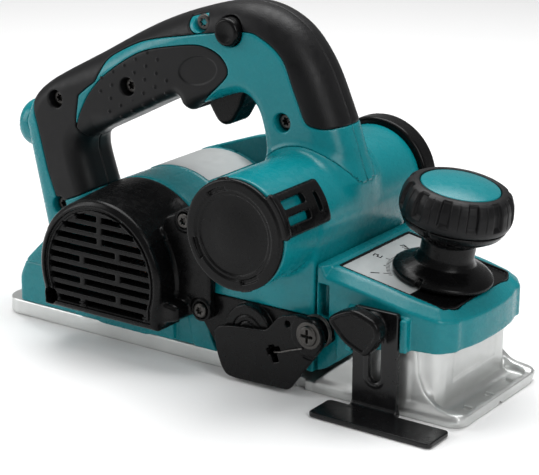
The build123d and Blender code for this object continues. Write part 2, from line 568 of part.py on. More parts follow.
# ---- motor --------------------------------------------------------------------------
motor_shaft = rod(motor_x, motor_z, 4.0, -53.4, -44) + rod(motor_x, motor_z, 5.0, -44.6, 54)
motor_shaft += rod(motor_x, motor_z, 4.0, 54, belt_y + 6)
save("motor_shaft", motor_shaft)
core = ring(motor_x, motor_z, 20.0, 5.0, -22, 22)
for i in range(12):
    angle = i * 30
    x, z = polar(motor_x, motor_z, 20.0, angle)
    core -= rod(x, z, 1.2, -23, 23)
save("armature_core", core)
commutator = ring(motor_x, motor_z, 12.0, 5.0, -42.5, -30)
for i in range(12):
    x, z = polar(motor_x, motor_z, 12.0, i * 30 + 15)
    commutator -= rod(x, z, 0.5, -43, -31)
save("commutator", commutator)
fan = ring(motor_x, motor_z, 31.0, 9.0, 35.6, 37.2) + ring(motor_x, motor_z, 9.0, 5.0, 30, 37.2)
for i in range(11):
    blade = block(12, 30, -0.8, 0.8, -3, 3)
    fan += Pos(motor_x, 33.0, motor_z) * Rot(0, i * 360 / 11, 0) * Rot(90, 0, 0) * blade
save("cooling_fan", fan)
motor_bearings = [ring(motor_x, motor_z, 11, 4, -53, -46.2), ring(motor_x, motor_z, 13, 5, 44, 52)]
save("motor_bearings", *motor_bearings)
stator = ring(motor_x, motor_z, motor_bore_radius, 21.0, -20, 20)
for angle in (0, 180):
    x, z = polar(motor_x, motor_z, 26, angle)
    stator -= block(x - 5.5, x + 5.5, -21, 21, z - 8, z + 8)
save("stator_core", stator)
coils = []
for angle in (0, 180):
    x, z = polar(motor_x, motor_z, 26.5, angle)
    coil = block(x - 4.5, x + 4.5, -27, 27, z - 7.5, z + 7.5)
    coil -= block(x - 4.6, x + 4.6, -20.0, 20.0, z - 1.5, z + 1.5)
    coils.append(coil)
save("field_coils", *coils)
holders, brushes = [], []
for side in (-1, 1):
    x0, x1 = sorted((motor_x + side * 13.6, motor_x + side * 31))
    b0, b1 = sorted((motor_x + side * (12.0 + 0.3), motor_x + side * 24))
    holders.append(block(x0, x1, -40.4, -32, motor_z - 4.6, motor_z + 4.6)
                   - block(x0 - 1, x1 + 1, -39, -33.4, motor_z - 3.2, motor_z + 3.2))
    brushes.append(block(b0, b1, -39, -33.4, motor_z - 3.2, motor_z + 3.2))
save("brush_holders", *holders)
save("carbon_brushes", *brushes)

label = ring(motor_x, motor_z, motor_housing_radius + 0.5, motor_housing_radius, 6, 48)
label_wedge = [(motor_x, motor_z), polar(motor_x, motor_z, 90, 112), polar(motor_x, motor_z, 90, 62)]
label &= side_prism(label_wedge, 0, 60)
save("rating_label", label)
save("main_housing", housing)
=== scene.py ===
import json
import math

import bpy
import numpy as np
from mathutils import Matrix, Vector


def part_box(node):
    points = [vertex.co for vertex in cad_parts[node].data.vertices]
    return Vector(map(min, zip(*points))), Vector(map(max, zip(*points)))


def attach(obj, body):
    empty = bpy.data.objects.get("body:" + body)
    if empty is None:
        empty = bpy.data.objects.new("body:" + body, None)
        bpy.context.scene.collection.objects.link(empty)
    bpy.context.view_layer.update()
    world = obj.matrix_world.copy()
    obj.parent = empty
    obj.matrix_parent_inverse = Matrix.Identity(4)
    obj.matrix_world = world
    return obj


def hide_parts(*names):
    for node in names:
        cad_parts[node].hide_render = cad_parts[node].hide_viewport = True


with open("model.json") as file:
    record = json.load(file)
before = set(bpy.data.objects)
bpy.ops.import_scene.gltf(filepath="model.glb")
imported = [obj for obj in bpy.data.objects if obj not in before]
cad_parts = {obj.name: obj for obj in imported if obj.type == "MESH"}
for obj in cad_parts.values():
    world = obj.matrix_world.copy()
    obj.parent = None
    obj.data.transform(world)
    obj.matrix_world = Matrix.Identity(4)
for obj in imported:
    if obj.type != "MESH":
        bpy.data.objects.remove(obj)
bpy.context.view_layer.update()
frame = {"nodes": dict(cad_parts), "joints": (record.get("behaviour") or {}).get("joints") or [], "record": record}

import openvdb
from mathutils import Matrix, Vector

# The looks of an electric hand planer. Shapes are worked out in millimetres in the CAD frame
# (+X front, +Z up, -Y the operator's right) and turned into metres when a piece is made.
MM = 0.001
coarse = 1.0     # voxels are this much larger while trying things


# ---- places read from the frame ----
def span(node):
    low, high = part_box(node)
    return low / MM, high / MM


def centre(node):
    low, high = span(node)
    return (low + high) / 2


joints = {joint["name"]: joint for joint in frame["joints"]}
motor_x, _, motor_z = centre("motor_pulley")
drum_x, _, drum_z = centre("drum_pulley")
duct_x, _, duct_z = centre("chip_nozzle")
gauge_x, _, gauge_z = Vector(joints["gauge_screw_turn"]["pos_m"]) / MM
pivot_x, _, pivot_z = Vector(joints["guard_swing"]["pos_m"]) / MM
motor_at, drum_at, duct_at = (motor_x, motor_z), (drum_x, drum_z), (duct_x, duct_z)
gauge_at, pivot_at = (gauge_x, gauge_z), (pivot_x, pivot_z)
knob_place = Vector(joints["knob_turn"]["pos_m"]) / MM
knob_up = -Vector(joints["knob_turn"]["axis"])
knob_tilt = math.atan2(knob_up.x, knob_up.z)
sole_low, sole_high = span("rear_base")
_, front_high = span("front_base")
half_sole = sole_high.y
side = 44.0             # half width of the plastic body
floor_z = sole_high.z   # underside of the plastic body
barrel_radius = 44.0
sleeve_radius = 39.5    # the barrel's right end, inside the vent cover
barrel_step = -22.0
flare_joint = 3.0       # height above the duct where the handle's front leg is joined on
duct_radius = 28.5
half_grip = 18.0
handle_screws = [(-125, 122), (-74, 136), (-26, 176), (26, 131), (-124, 61)]
vent_screws = [(-11.5, -50, 80.5), (-1.5, -50, 34), (-92.5, -48, 27)]
lug_screws = [(-85, 60, 45), (-14, 60, 64.5), (53.5, 60, 41)]


# ---- signed distance fields ----
def rounded(a, b, r=0.0):
    """Where both fields are, with the edge where they meet rounded to radius r."""
    u, v = a + r, b + r
    return np.minimum(np.maximum(u, v), 0) + np.hypot(np.maximum(u, 0), np.maximum(v, 0)) - r


def cut(a, b, r=0.3):
    return rounded(a, -b, r)


def fused(a, b, r=0.3):
    """Either field, with a fillet of radius r where they meet."""
    return -rounded(-a, -b, r)


def between(v, low, high):
    return np.maximum(low - v, v - high)


def disc(p, q, centre_p, centre_q, radius):
    return np.hypot(p - centre_p, q - centre_q) - radius


def box(x, y, z, xs, ys, zs, r=0.3):
    return rounded(rounded(between(x, *xs), between(y, *ys), r), between(z, *zs), r)


def rod(x, y, z, at, radius, ys, r):
    """A round bar along Y."""
    return rounded(disc(x, z, *at, radius), between(y, *ys), r)


def prism(x, y, z, outline, ys, r):
    """An outline in x and z, carried along Y."""
    return rounded(polygon(outline, x, z), between(y, *ys), r)


def polygon(points, p, q):
    """Signed distance to a closed outline in the p, q plane."""
    p, q = np.broadcast_arrays(p, q)
    near = np.full(p.shape, 1e9, np.float32)
    inside = np.zeros(p.shape, bool)
    for (ap, aq), (bp, bq) in zip(points, points[1:] + points[:1]):
        dp, dq = bp - ap, bq - aq
        along = np.clip(((p - ap) * dp + (q - aq) * dq) / max(dp * dp + dq * dq, 1e-9), 0, 1)
        near = np.minimum(near, (p - ap - along * dp) ** 2 + (q - aq - along * dq) ** 2)
        if dq:
            inside ^= ((aq > q) != (bq > q)) & (p < ap + (q - aq) * dp / dq)
    return np.where(inside, -1, 1) * np.sqrt(near)


def flow(points, steps=7):
    """A smooth open line through the points."""
    made = []
    ends = [points[0]] + points + [points[-1]]
    for a, b, c, d in zip(ends, ends[1:], ends[2:], ends[3:]):
        for i in range(steps):
            t = i / steps
            weights = (-t + 2 * t * t - t ** 3, 2 - 5 * t * t + 3 * t ** 3,
                       t + 4 * t * t - 3 * t ** 3, t ** 3 - t * t)
            made.append(tuple(sum(w * v[k] for w, v in zip(weights, (a, b, c, d))) / 2 for k in (0, 1)))
    return made + [points[-1]]


def soft(points, radius, steps=5):
    """The closed outline with each corner turned into a short curve that starts `radius` from it."""
    made = []
    for before, corner, after in zip(points[-1:] + points[:-1], points, points[1:] + points[:1]):
        corner, before, after = Vector(corner), Vector(before), Vector(after)
        start = corner.lerp(before, min(radius / max((before - corner).length, 1e-6), 0.45))
        end = corner.lerp(after, min(radius / max((after - corner).length, 1e-6), 0.45))
        for i in range(steps + 1):
            t = i / steps
            made.append(tuple(start.lerp(corner, t).lerp(corner.lerp(end, t), t)))
    return made


def polar(x, z, radius, angle):
    return x + radius * math.cos(math.radians(angle)), z + radius * math.sin(math.radians(angle))


def belt_loop(x, z, grow):
    """The outline of a belt round both pulleys, grown outwards."""
    big, small = 16.0 + grow, 12.0 + grow
    dx, dz = motor_x - drum_x, motor_z - drum_z
    length = math.hypot(dx, dz)
    along = ((x - drum_x) * dx + (z - drum_z) * dz) / length
    across = np.abs((x - drum_x) * dz - (z - drum_z) * dx) / length
    lean = (big - small) / length
    rise = math.sqrt(1 - lean * lean)
    turn = -lean * across + rise * along
    middle = rise * across + lean * along - big
    ends = np.where(turn < 0, np.hypot(across, along) - big, np.hypot(across, along - length) - small)
    return np.where((turn < 0) | (turn > rise * length), ends, middle)


# ---- from field to mesh ----
def settle(points, values):
    """Moves points, in grid steps, onto the zero level of the sampled field."""
    for _ in range(2):
        base = np.clip(points.astype(int), 0, np.array(values.shape) - 2)
        part = points - base
        level = np.zeros(len(points))
        slope = np.zeros_like(points)
        for corner in np.ndindex(2, 2, 2):
            sample = values[tuple((base + corner).T)]
            share = np.where(corner, part, 1 - part)
            level += sample * share.prod(1)
            for axis in range(3):
                others = [a for a in range(3) if a != axis]
                slope[:, axis] += sample * (1 if corner[axis] else -1) * share[:, others].prod(1)
        steepness = np.maximum((slope ** 2).sum(1), 0.25)
        points = points - np.clip(level / steepness, -0.5, 0.5)[:, None] * slope
    return points


def surface(field, low, high, voxel):
    """The zero level of a field inside the box, as points in millimetres and quads."""
    step = voxel * coarse
    axes = [np.arange(a - 2 * step, b + 3 * step, step, dtype=np.float32) for a, b in zip(low, high)]
    x, y, z = axes[0][:, None, None], axes[1][None, :, None], axes[2][None, None, :]
    values = np.broadcast_to(field(x, y, z), [len(a) for a in axes]).astype(np.float32) / step
    values = np.clip(values, -3, 3)
    grid = openvdb.FloatGrid(3.0)
    grid.copyFromArray(values)
    points, quads = grid.convertToQuads(isovalue=0)
    points = settle(points.astype(float), values)
    start = np.array([a[0] for a in axes])
    return points * step + start, quads.astype(int)


def linked(name, data):
    thing = bpy.data.objects.new(name, data)
    bpy.context.scene.collection.objects.link(thing)
    return thing


def evaluated(data, ratio=1.0):
    """The mesh of a curve, or a mesh decimated to a share of its triangles."""
    holder = linked("holder", data)
    if ratio < 1:
        holder.modifiers.new("thin", "DECIMATE").ratio = ratio
    made = bpy.data.meshes.new_from_object(holder.evaluated_get(bpy.context.evaluated_depsgraph_get()))
    bpy.data.objects.remove(holder)
    return made


def placed(name, mesh, slot, body, nodes):
    """Makes a mesh a piece, with its material, the body it rides on and the CAD nodes it stands for."""
    mesh.polygons.foreach_set("use_smooth", np.ones(len(mesh.polygons), bool))
    piece = linked(name, mesh)
    mesh.materials.clear()
    mesh.materials.append(looks[slot])
    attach(piece, body)
    if nodes:
        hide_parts(*nodes)


def present(name, points, faces, slot, body, *nodes, limit=90000):
    """Makes one piece from points in millimetres and faces that all have the same number of corners."""
    points = np.asarray(points, float) * MM
    faces = np.asarray(faces, int)
    mesh = bpy.data.meshes.new(name)
    mesh.vertices.add(len(points))
    mesh.vertices.foreach_set("co", points.ravel())
    a, b, c = (points[faces[:, k]] for k in (0, 1, 2))
    d = points[faces[:, -1]]
    volume = np.einsum("ij,ij->i", a, np.cross(b, c)).sum() + np.einsum("ij,ij->i", a, np.cross(c, d)).sum()
    if volume < 0:
        faces = faces[:, ::-1]
    corners = faces.shape[1]
    mesh.loops.add(faces.size)
    mesh.polygons.add(len(faces))
    mesh.loops.foreach_set("vertex_index", faces.ravel())
    mesh.polygons.foreach_set("loop_start", np.arange(len(faces)) * corners)
    mesh.update(calc_edges=True)
    mesh.validate()
    triangles = sum(len(p.vertices) - 2 for p in mesh.polygons)
    if triangles > limit:
        mesh = evaluated(mesh, limit / triangles)
    placed(name, mesh, slot, body, nodes)


def sculpt(name, field, voxel, slot, node="", body="planer_body", extent=None, limit=90000):
    """The piece that a field describes. It stands for the CAD node of its own name, unless told otherwise."""
    nodes = [name] if node == "" else [node] if node else []
    low, high = extent or span(nodes[0])
    present(name, *surface(field, low, high, voxel), slot, body, *nodes, limit=limit)


def repeated(shape, places, mirror=False):
    """One surface copied to several places, facing -Y, or +Y if mirrored."""
    points, faces = shape
    if mirror:
        points = points * (1, -1, 1)
    all_points = np.concatenate([points + np.array(place) for place in places])
    all_faces = np.concatenate([faces + i * len(points) for i in range(len(places))])
    return all_points, all_faces


def lathe(profile, segments=288, ripple=None):
    """A closed ring profile of (radius, height) turned round the local Z axis."""
    radius, height = np.array(profile, float).T
    angle = np.arange(segments) * 2 * math.pi / segments
    r = np.repeat(radius[None, :], segments, 0)
    if ripple is not None:
        r = r - ripple(angle[:, None], radius[None, :], height[None, :])
    h = np.repeat(height[None, :], segments, 0)
    points = np.stack([r * np.cos(angle)[:, None], r * np.sin(angle)[:, None], h], -1).reshape(-1, 3)
    count = len(profile)
    i, j = np.meshgrid(np.arange(segments), np.arange(count), indexing="ij")
    i2, j2 = (i + 1) % segments, (j + 1) % count
    faces = np.stack([i * count + j, i * count + j2, i2 * count + j2, i2 * count + j], -1).reshape(-1, 4)
    return points, faces


def on_knob(points):
    """From the knob's own frame, with its axis as Z, to the row frame."""
    turn = np.array(Matrix.Rotation(knob_tilt, 3, "Y"))
    return np.asarray(points, float) @ turn.T + np.array(knob_place)


def knob_frame(x, y, z):
    """Coordinates in the knob's own frame of points in the row frame."""
    c, s = math.cos(knob_tilt), math.sin(knob_tilt)
    dx, dz = x - knob_place.x, z - knob_place.z
    return dx * c - dz * s, y, dx * s + dz * c


# ---- materials ----
def fill_in(node, values):
    for socket, value in values.items():
        node.inputs[socket].default_value = value


def finish_of(name, colour, roughness, metallic=0.0, mottle=0.06, grain=2200, depth=0.10, stretch=(1, 1, 1),
              cells=False, wear=0.0, specular=0.5):
    """A moulded, cast or ground surface: a grain, uneven gloss and colour, and lighter worn edges."""
    material = bpy.data.materials.new(name)
    material.use_nodes = True
    nodes, links = material.node_tree.nodes, material.node_tree.links
    shader = nodes["Principled BSDF"]
    fill_in(shader, {"Metallic": metallic, "Specular IOR Level": specular})
    place = nodes.new("ShaderNodeTexCoord")
    mapping = nodes.new("ShaderNodeMapping")
    fill_in(mapping, {"Scale": stretch})
    links.new(place.outputs["Object"], mapping.inputs["Vector"])

    def noise(scale, detail, source):
        texture = nodes.new("ShaderNodeTexNoise")
        fill_in(texture, {"Scale": scale, "Detail": detail})
        links.new(source, texture.inputs["Vector"])
        return texture.outputs["Fac"]

    def ramp(value, low, high, from_low=0.35, from_high=0.65):
        scaled = nodes.new("ShaderNodeMapRange")
        fill_in(scaled, {"From Min": from_low, "From Max": from_high, "To Min": low, "To Max": high})
        links.new(value, scaled.inputs["Value"])
        return scaled.outputs["Result"]

    def mixed(share, first, second):
        mix = nodes.new("ShaderNodeMix")
        mix.data_type = "RGBA"
        links.new(share, mix.inputs["Factor"])
        for socket, value in zip([s for s in mix.inputs if s.type == "RGBA"], (first, second)):
            if isinstance(value, tuple):
                socket.default_value = (*value, 1)
            else:
                links.new(value, socket)
        return [s for s in mix.outputs if s.type == "RGBA"][0]

    dark = tuple(c * (1 - mottle) for c in colour)
    light = tuple(min(c * (1 + mottle) + 0.001, 1) for c in colour)
    blotch = ramp(noise(45, 3, place.outputs["Object"]), 0, 1)
    tone = mixed(blotch, dark, light)
    gloss = ramp(noise(240, 4, mapping.outputs["Vector"]), max(roughness - 0.05, 0.02), roughness + 0.06)
    if wear:
        shape = nodes.new("ShaderNodeNewGeometry")
        edge = ramp(shape.outputs["Pointiness"], 0, wear, 0.52, 0.60)
        scuffed = tuple(min(c * 1.8 + 0.05, 1) for c in colour)
        tone = mixed(edge, tone, scuffed)
    links.new(tone, shader.inputs["Base Color"])
    links.new(gloss, shader.inputs["Roughness"])
    if cells:
        texture = nodes.new("ShaderNodeTexVoronoi")
        fill_in(texture, {"Scale": grain})
        links.new(mapping.outputs["Vector"], texture.inputs["Vector"])
        height = texture.outputs["Distance"]
    else:
        height = noise(grain, 3, mapping.outputs["Vector"])
    bump = nodes.new("ShaderNodeBump")
    fill_in(bump, {"Strength": depth, "Distance": 0.0002})
    links.new(height, bump.inputs["Height"])
    links.new(bump.outputs["Normal"], shader.inputs["Normal"])
    return material


finishes = {
    "teal_plastic": dict(colour=(0.001, 0.190, 0.218), roughness=0.27, mottle=0.03, grain=2600, depth=0.05,
                         wear=0.03, specular=0.3),
    "black_plastic": dict(colour=(0.003, 0.003, 0.0032), roughness=0.25, mottle=0.10, grain=2400, depth=0.07,
                          wear=0.04, specular=0.14),
    "grip_rubber": dict(colour=(0.005, 0.005, 0.0055), roughness=0.42, mottle=0.10, grain=1700, depth=0.22,
                        cells=True, wear=0.04, specular=0.2),
    "cast_aluminium": dict(colour=(0.62, 0.63, 0.62), roughness=0.40, metallic=0.85, mottle=0.04, grain=1500,
                           depth=0.20, wear=0.2),
    "dark_steel": dict(colour=(0.06, 0.057, 0.054), roughness=0.36, metallic=0.9, grain=2800, depth=0.12,
                       wear=0.3),
    "bright_steel": dict(colour=(0.58, 0.58, 0.58), roughness=0.24, metallic=1.0, grain=900, depth=0.08,
                         stretch=(1, 14, 1)),
    "black_painted_steel": dict(colour=(0.006, 0.006, 0.0065), roughness=0.22, mottle=0.1, grain=900,
                                depth=0.04, wear=0.15, specular=0.3),
    "copper": dict(colour=(0.72, 0.33, 0.17), roughness=0.32, metallic=0.9, grain=1500, depth=0.2,
                   stretch=(1, 1, 12)),
    "brass": dict(colour=(0.75, 0.58, 0.28), roughness=0.28, metallic=1.0, grain=2000, depth=0.1),
    "carbon": dict(colour=(0.03, 0.03, 0.03), roughness=0.6, grain=3000, depth=0.2),
    "silver_label": dict(colour=(0.40, 0.42, 0.42), roughness=0.45, metallic=0.2, mottle=0.01, grain=1500,
                         depth=0.01),
}
looks = {name: finish_of(name, **settings) for name, settings in finishes.items()}
for part in frame["record"]["subparts"]:
    node = frame["nodes"][part["node"]]
    node.data.materials.clear()
    node.data.materials.append(looks[part["material_slot"]])
    node.data.polygons.foreach_set("use_smooth", np.zeros(len(node.data.polygons), bool))

# ---- plastic body: motor barrel, rear slope, drum block and chip duct ----
rear_outline = soft([(-135.5, 6), (-135.5, 24), (-130.5, 34.5), (-114.5, 50.5), (-94, 64), (-12, 64),
                     (-12, 6)], 2.5)
end_wall_outline = [(-75, 70), (-75, 86.6), (-66, 90), (-39, 99.5), (-14, 106), (8, 106), (8, 70)]
block_outline = soft([(-12, 6), (40, 6), (62, 6), (64, 75), (66, 89), (11, 95), (-4, 85), (-24, 80),
                      (-24, 66)], 2)


def body_outside(x, y, z):
    barrel = rod(x, y, z, motor_at, barrel_radius, (barrel_step, 56), 1.2)
    sleeve = rod(x, y, z, motor_at, sleeve_radius, (-side, 0), 1)
    rear = prism(x, y, z, rear_outline, (-half_sole, half_sole), 3)
    block = prism(x, y, z, block_outline, (-side, side), 2)
    duct = rod(x, y, z, duct_at, duct_radius, (-74.5, 54), 0.8)
    bearing_wall = rounded(belt_loop(x, z, 13), between(y, 42, 56), 2)
    end_wall = prism(x, y, z, end_wall_outline, (50, 56), 1.2)
    end_wall = cut(end_wall, disc(x, z, *duct_at, 33.4), 0.3)
    solid = fused(fused(block, duct, 3.5), fused(rear, fused(barrel, sleeve, 0.4), 2), 1.5)
    return fused(fused(solid, bearing_wall, 2), end_wall, 1.2)


def body_shell(x, y, z):
    body = body_outside(x, y, z)
    flare = rounded(with_flare(x, y, z, body), body - flare_joint + 0.06, 0.15)
    solid = rounded(np.minimum(body, flare), floor_z - z, 0.8)
    solid = cut(solid, box(x, y, z, (-20, 80), (-60, -41.7), (-5, 42.3), 0.4), 0.3)
    solid = cut(solid, box(x, y, z, (38, 80), (-60, 60), (0, floor_z + 2.3), 0.4), 0.3)
    solid = cut(solid, rod(x, y, z, motor_at, 33.5, (-60, 40), 0.5), 0.5)
    # wall under the vent cover, which closes the motor bore down there
    closing_wall = box(x, y, z, (motor_x - 34, motor_x + 34), (-side, -40.5), (floor_z + 1, 24), 0.5)
    solid = np.minimum(solid, closing_wall)
    solid = cut(solid, rod(x, y, z, drum_at, 31.0, (-43, 41.4), 0.5), 0.5)
    solid = cut(solid, disc(x, z, *duct_at, 23.5), 0.5)
    solid = cut(solid, box(x, y, z, (20, 53), (-38, 38), (50, 89), 2), 1.0)
    for bore_at in (drum_at, motor_at):
        solid = cut(solid, rod(x, y, z, bore_at, 13, (30, 70), 0.3), 0.3)
    # parting lines along the barrel and round the drum block
    seam_x, seam_z = polar(motor_x, motor_z, barrel_radius, 79.5)
    groove = np.maximum(disc(x, z, seam_x, seam_z, 0.55), between(y, -7, 69))
    solid = cut(solid, groove, 0.15)
    rear_seam = np.maximum(np.abs(z - 33) - 0.25, x + 118)
    rear_skin = -prism(x, y, z, rear_outline, (-half_sole, half_sole), 3) - 0.7
    solid = cut(solid, np.maximum(rear_seam, rear_skin), 0.1)
    # raised frame round the rating label
    level = np.abs(disc(x, z, *motor_at, barrel_radius))
    along = np.abs(np.degrees(np.arctan2(z - motor_z, x - motor_x)) - 87) * 0.768
    pad = rounded(rounded(level - 0.45, between(y, 4.5, 49.5), 0.3), along - 20.4, 0.3)
    hole = np.maximum(between(y, 5.9, 48.1), along - 19.3)
    return fused(solid, cut(pad, hole, 0.2), 0.3)


# ---- handle ----
grip_top = flow([(-151, 106), (-139, 126), (-100, 149.5), (-58, 172), (-22, 185), (4, 188), (26, 180),
                 (42, 162.5), (54, 138), (61, 120)])
grip_inside = flow([(14, 96), (14, 112), (12.5, 124), (8, 136), (0, 141.6), (-10, 139.5), (-22, 134.6)]) + \
    soft([(-22, 134.6), (-28, 132.4), (-33.5, 127.4), (-39.5, 129.6), (-42, 135.2), (-60, 126.5),
          (-60, 126)], 3)[6:-6] + \
    flow([(-60, 126.3), (-80, 116), (-97, 107), (-106.5, 101.5), (-109, 96), (-107, 86), (-98, 60)])
handle_outline = grip_top + [(66, 104), (60, 80), (14, 80), (-98, 40), (-129.6, 13)]
finger_gap = grip_inside + [(-98, 30), (14, 30)]
spine_zone = [(-81.8, 84.1), (-110.7, 68.5), (-120, 64.6), (-125.1, 62), (-132, 79.7), (-139.3, 107.1),
              (-144, 121), (-175, 130), (-175, 215), (95, 215), (95, 134)] + \
    soft([(62, 133.2), (50.6, 129.9), (41, 131.5), (38.5, 135.3)], 4)[6:-6] + \
    flow([(38.5, 135.3), (32.2, 149.4), (25.3, 163.7), (13.6, 172.2), (0, 174.7), (-38.1, 167.9),
          (-64.7, 161.5), (-84, 152.3), (-90.2, 147.4)]) + \
    flow([(-91.8, 144.6), (-94.5, 139.5), (-96.5, 136), (-99.7, 133.4), (-103, 131), (-108.4, 126.6)])[1:] + \
    [(-110, 117), (-111, 108), (-106.5, 100), (-95, 98)]
lower_zone = flow([(-111, 108), (-106.5, 119), (-99, 131), (-85.5, 143.6), (-64.8, 156.1), (-41.5, 162.2),
                   (-25.3, 164.3), (-13.8, 161), (-8.1, 153.9), (-11.3, 147.2), (-26.9, 133.4)]) + \
    [(-30, 122), (-60, 105), (-95, 98), (-106.5, 100)]
panel_gap = 0.14


def handle_outside(x, y, z):
    edge_radius = 9 + 6 * np.clip((x + 130) / 35, 0, 1)
    gap_radius = 12 - 5 * np.clip((x + 100) / 15, 0, 1)
    solid = rounded(polygon(handle_outline, x, z), np.abs(y) - half_grip, edge_radius)
    return cut(solid, polygon(finger_gap, x, z), gap_radius)


def with_flare(x, y, z, body):
    """The handle and the body together, where the front leg flares into the duct."""
    return np.where(x > 0, fused(handle_outside(x, y, z), body, 7), 1e3)


sculpt("body_shell", body_shell, 0.8, "teal_plastic", "main_housing", extent=((-136, -75, 9), (67, 56, 118)),
       limit=150000)


def handle_solid(x, y, z):
    body = body_outside(x, y, z)
    front = rounded(with_flare(x, y, z, body), flare_joint - body, 0.15)
    solid = np.where(x > 0, front, cut(handle_outside(x, y, z), body - 0.12, 0.25))
    solid = cut(solid, box(x, y, z, (-32, 4.5), (-9.6, 9.6), (110, 168), 0.6), 0.5)
    button_x, _, button_z = centre("lock_button")
    solid = cut(solid, rounded(disc(x, z, button_x, button_z, 7.9), y + 6, 0.3), 0.7)
    for screw_x, screw_z in handle_screws:
        solid = cut(solid, rounded(disc(x, z, screw_x, screw_z, 4.9), y + 11, 0.3), 0.8)
    return solid


def teal_half(sign):
    def field(x, y, z):
        solid = handle_solid(x, y, z)
        solid = cut(solid, polygon(spine_zone, x, z) - panel_gap, 0.35)
        solid = cut(solid, polygon(lower_zone, x, z) - panel_gap, 0.35)
        return rounded(solid, 0.05 - sign * y, 0.3)
    return field


def grip_spine(x, y, z):
    solid = rounded(handle_solid(x, y, z), polygon(spine_zone, x, z) + panel_gap, 0.5)
    well = rounded(disc(x, z, -28.5, 176.6, 6.6), y + 11, 0.3)
    solid = cut(solid, well, 0.4)
    skin = handle_outside(x, y, z)
    centre_seam = np.maximum(np.abs(y) - 0.3, -skin - 0.8)
    return cut(solid, centre_seam, 0.25)


def well_ring(x, y, z):
    """The teal cup that shows round the screw by the lock button."""
    cup = rod(x, y, z, (-28.5, 176.6), 6.3, (-60, -11.2), 0.3)
    cup = rounded(cup, handle_outside(x, y, z) + 0.5, 0.6)
    cup = cut(cup, rounded(disc(x, z, -26.6, 176, 4.9), y + 13, 0.3), 0.5)
    button_x, _, button_z = centre("lock_button")
    return cut(cup, disc(x, z, button_x, button_z, 8.0), 0.3)


def grip_lower(x, y, z):
    skin = handle_outside(x, y, z)
    solid = rounded(handle_solid(x, y, z), polygon(lower_zone, x, z) + panel_gap, 0.5)
    # smooth thumb oval and rows of small studs
    oval = np.hypot((x + 27) * 0.97 + (z - 151) * 0.26, ((z - 151) * 0.97 - (x + 27) * 0.26) * 1.7) - 12.5
    solid = cut(solid, rounded(-skin - 0.5, oval, 0.4), 0.4)
    lean = 0.52
    along = (x + 70) * math.cos(lean) + (z - 137) * math.sin(lean)
    across = -(x + 70) * math.sin(lean) + (z - 137) * math.cos(lean)
    pitch = 9.0
    row = np.round(across / 6.0)
    near_along = along - pitch * (np.round(along / pitch - (row % 2) / 2) + (row % 2) / 2)
    near_across = across - 6.0 * row
    field_area = np.maximum(np.abs(along) - 25, np.abs(across) - 13)
    stud = np.sqrt(near_along ** 2 + near_across ** 2 + (skin * 1.2) ** 2) - 0.95
    clear = disc(x, z, -74, 136, 7.5)
    stud = np.maximum(np.maximum(stud, field_area), -clear)
    return fused(solid, stud, 0.2)


sculpt("grip_spine", grip_spine, 0.6, "grip_rubber", extent=((-150, -18, 60), (62, 18, 189)), limit=130000)
sculpt("grip_lower", grip_lower, 0.42, "grip_rubber", extent=((-113, -19, 98), (-7, 19, 166)), limit=150000)
sculpt("handle_half_right", teal_half(-1), 0.6, "teal_plastic", "handle_right",
       extent=((-151, -18, 31), (67, 0, 178)), limit=110000)
sculpt("handle_half_left", teal_half(1), 0.6, "teal_plastic", "handle_left",
       extent=((-151, 0, 31), (67, 18, 178)), limit=110000)
sculpt("screw_cup", well_ring, 0.35, "teal_plastic", None, extent=((-36, -19, 168), (-18, -10, 185)))


inlet_z = centre("cord_inlet").z


def cord_inlet(x, y, z):
    low, high = span("cord_inlet")
    reach = np.hypot(y, z - inlet_z) - 13.9
    stub = rounded(reach, between(x, low.x, -139), 8)
    stub = cut(stub, np.maximum(np.hypot(y, z - inlet_z) - 3.8, x + 139), 0.8)
    stub = cut(stub, np.maximum(np.abs(np.hypot(y, z - inlet_z) - 7.5) - 0.5, x - low.x - 1.6), 0.3)
    return cut(stub, np.maximum(handle_outside(x, y, z) - 0.1, -150 - x), 0.3)


sculpt("cord_inlet", cord_inlet, 0.4, "teal_plastic", extent=((-165, -15, 83), (-140, 15, 118)))


def trigger(x, y, z):
    outline = soft([(-28.5, 146), (-28, 133), (-21.5, 123), (-17, 121), (-12, 123), (-6, 133), (-3.5, 141),
                    (3, 144), (3, 151), (-3, 152)], 3)
    solid = rounded(polygon(outline, x, z), np.abs(y) - 9, 2.6)
    return cut(solid, disc(x, z, -1.5, 147, 2.05), 0.2)


sculpt("trigger", trigger, 0.4, "black_plastic", body="trigger", extent=((-29, -9, 120), (4, 9, 153)))


def lock_button(x, y, z):
    low, high = span("lock_button")
    middle = centre("lock_button")
    reach = disc(x, z, middle.x, middle.z, 7.4)
    solid = rounded(reach, between(y, low.y, high.y), 2.2)
    dish = np.sqrt((x - middle.x) ** 2 + (z - middle.z) ** 2 + (y - low.y + 19) ** 2) - 19.8
    return cut(solid, dish, 0.6)


sculpt("lock_button", lock_button, 0.3, "black_plastic", body="lock_button")

# ---- motor vent cover ----
vent_face = -65.0
slot_rows = [25.8 + 6.0 * row for row in range(9)]


def vent_outline(x, z, shrink=0.0):
    dome = np.maximum(disc(x, z, *motor_at, 40.6 - shrink), 21.5 + shrink - z)
    foot = np.maximum(between(x, -97 + shrink, -20 - shrink), between(z, 21.5 + shrink, motor_z))
    return np.minimum(dome, foot)


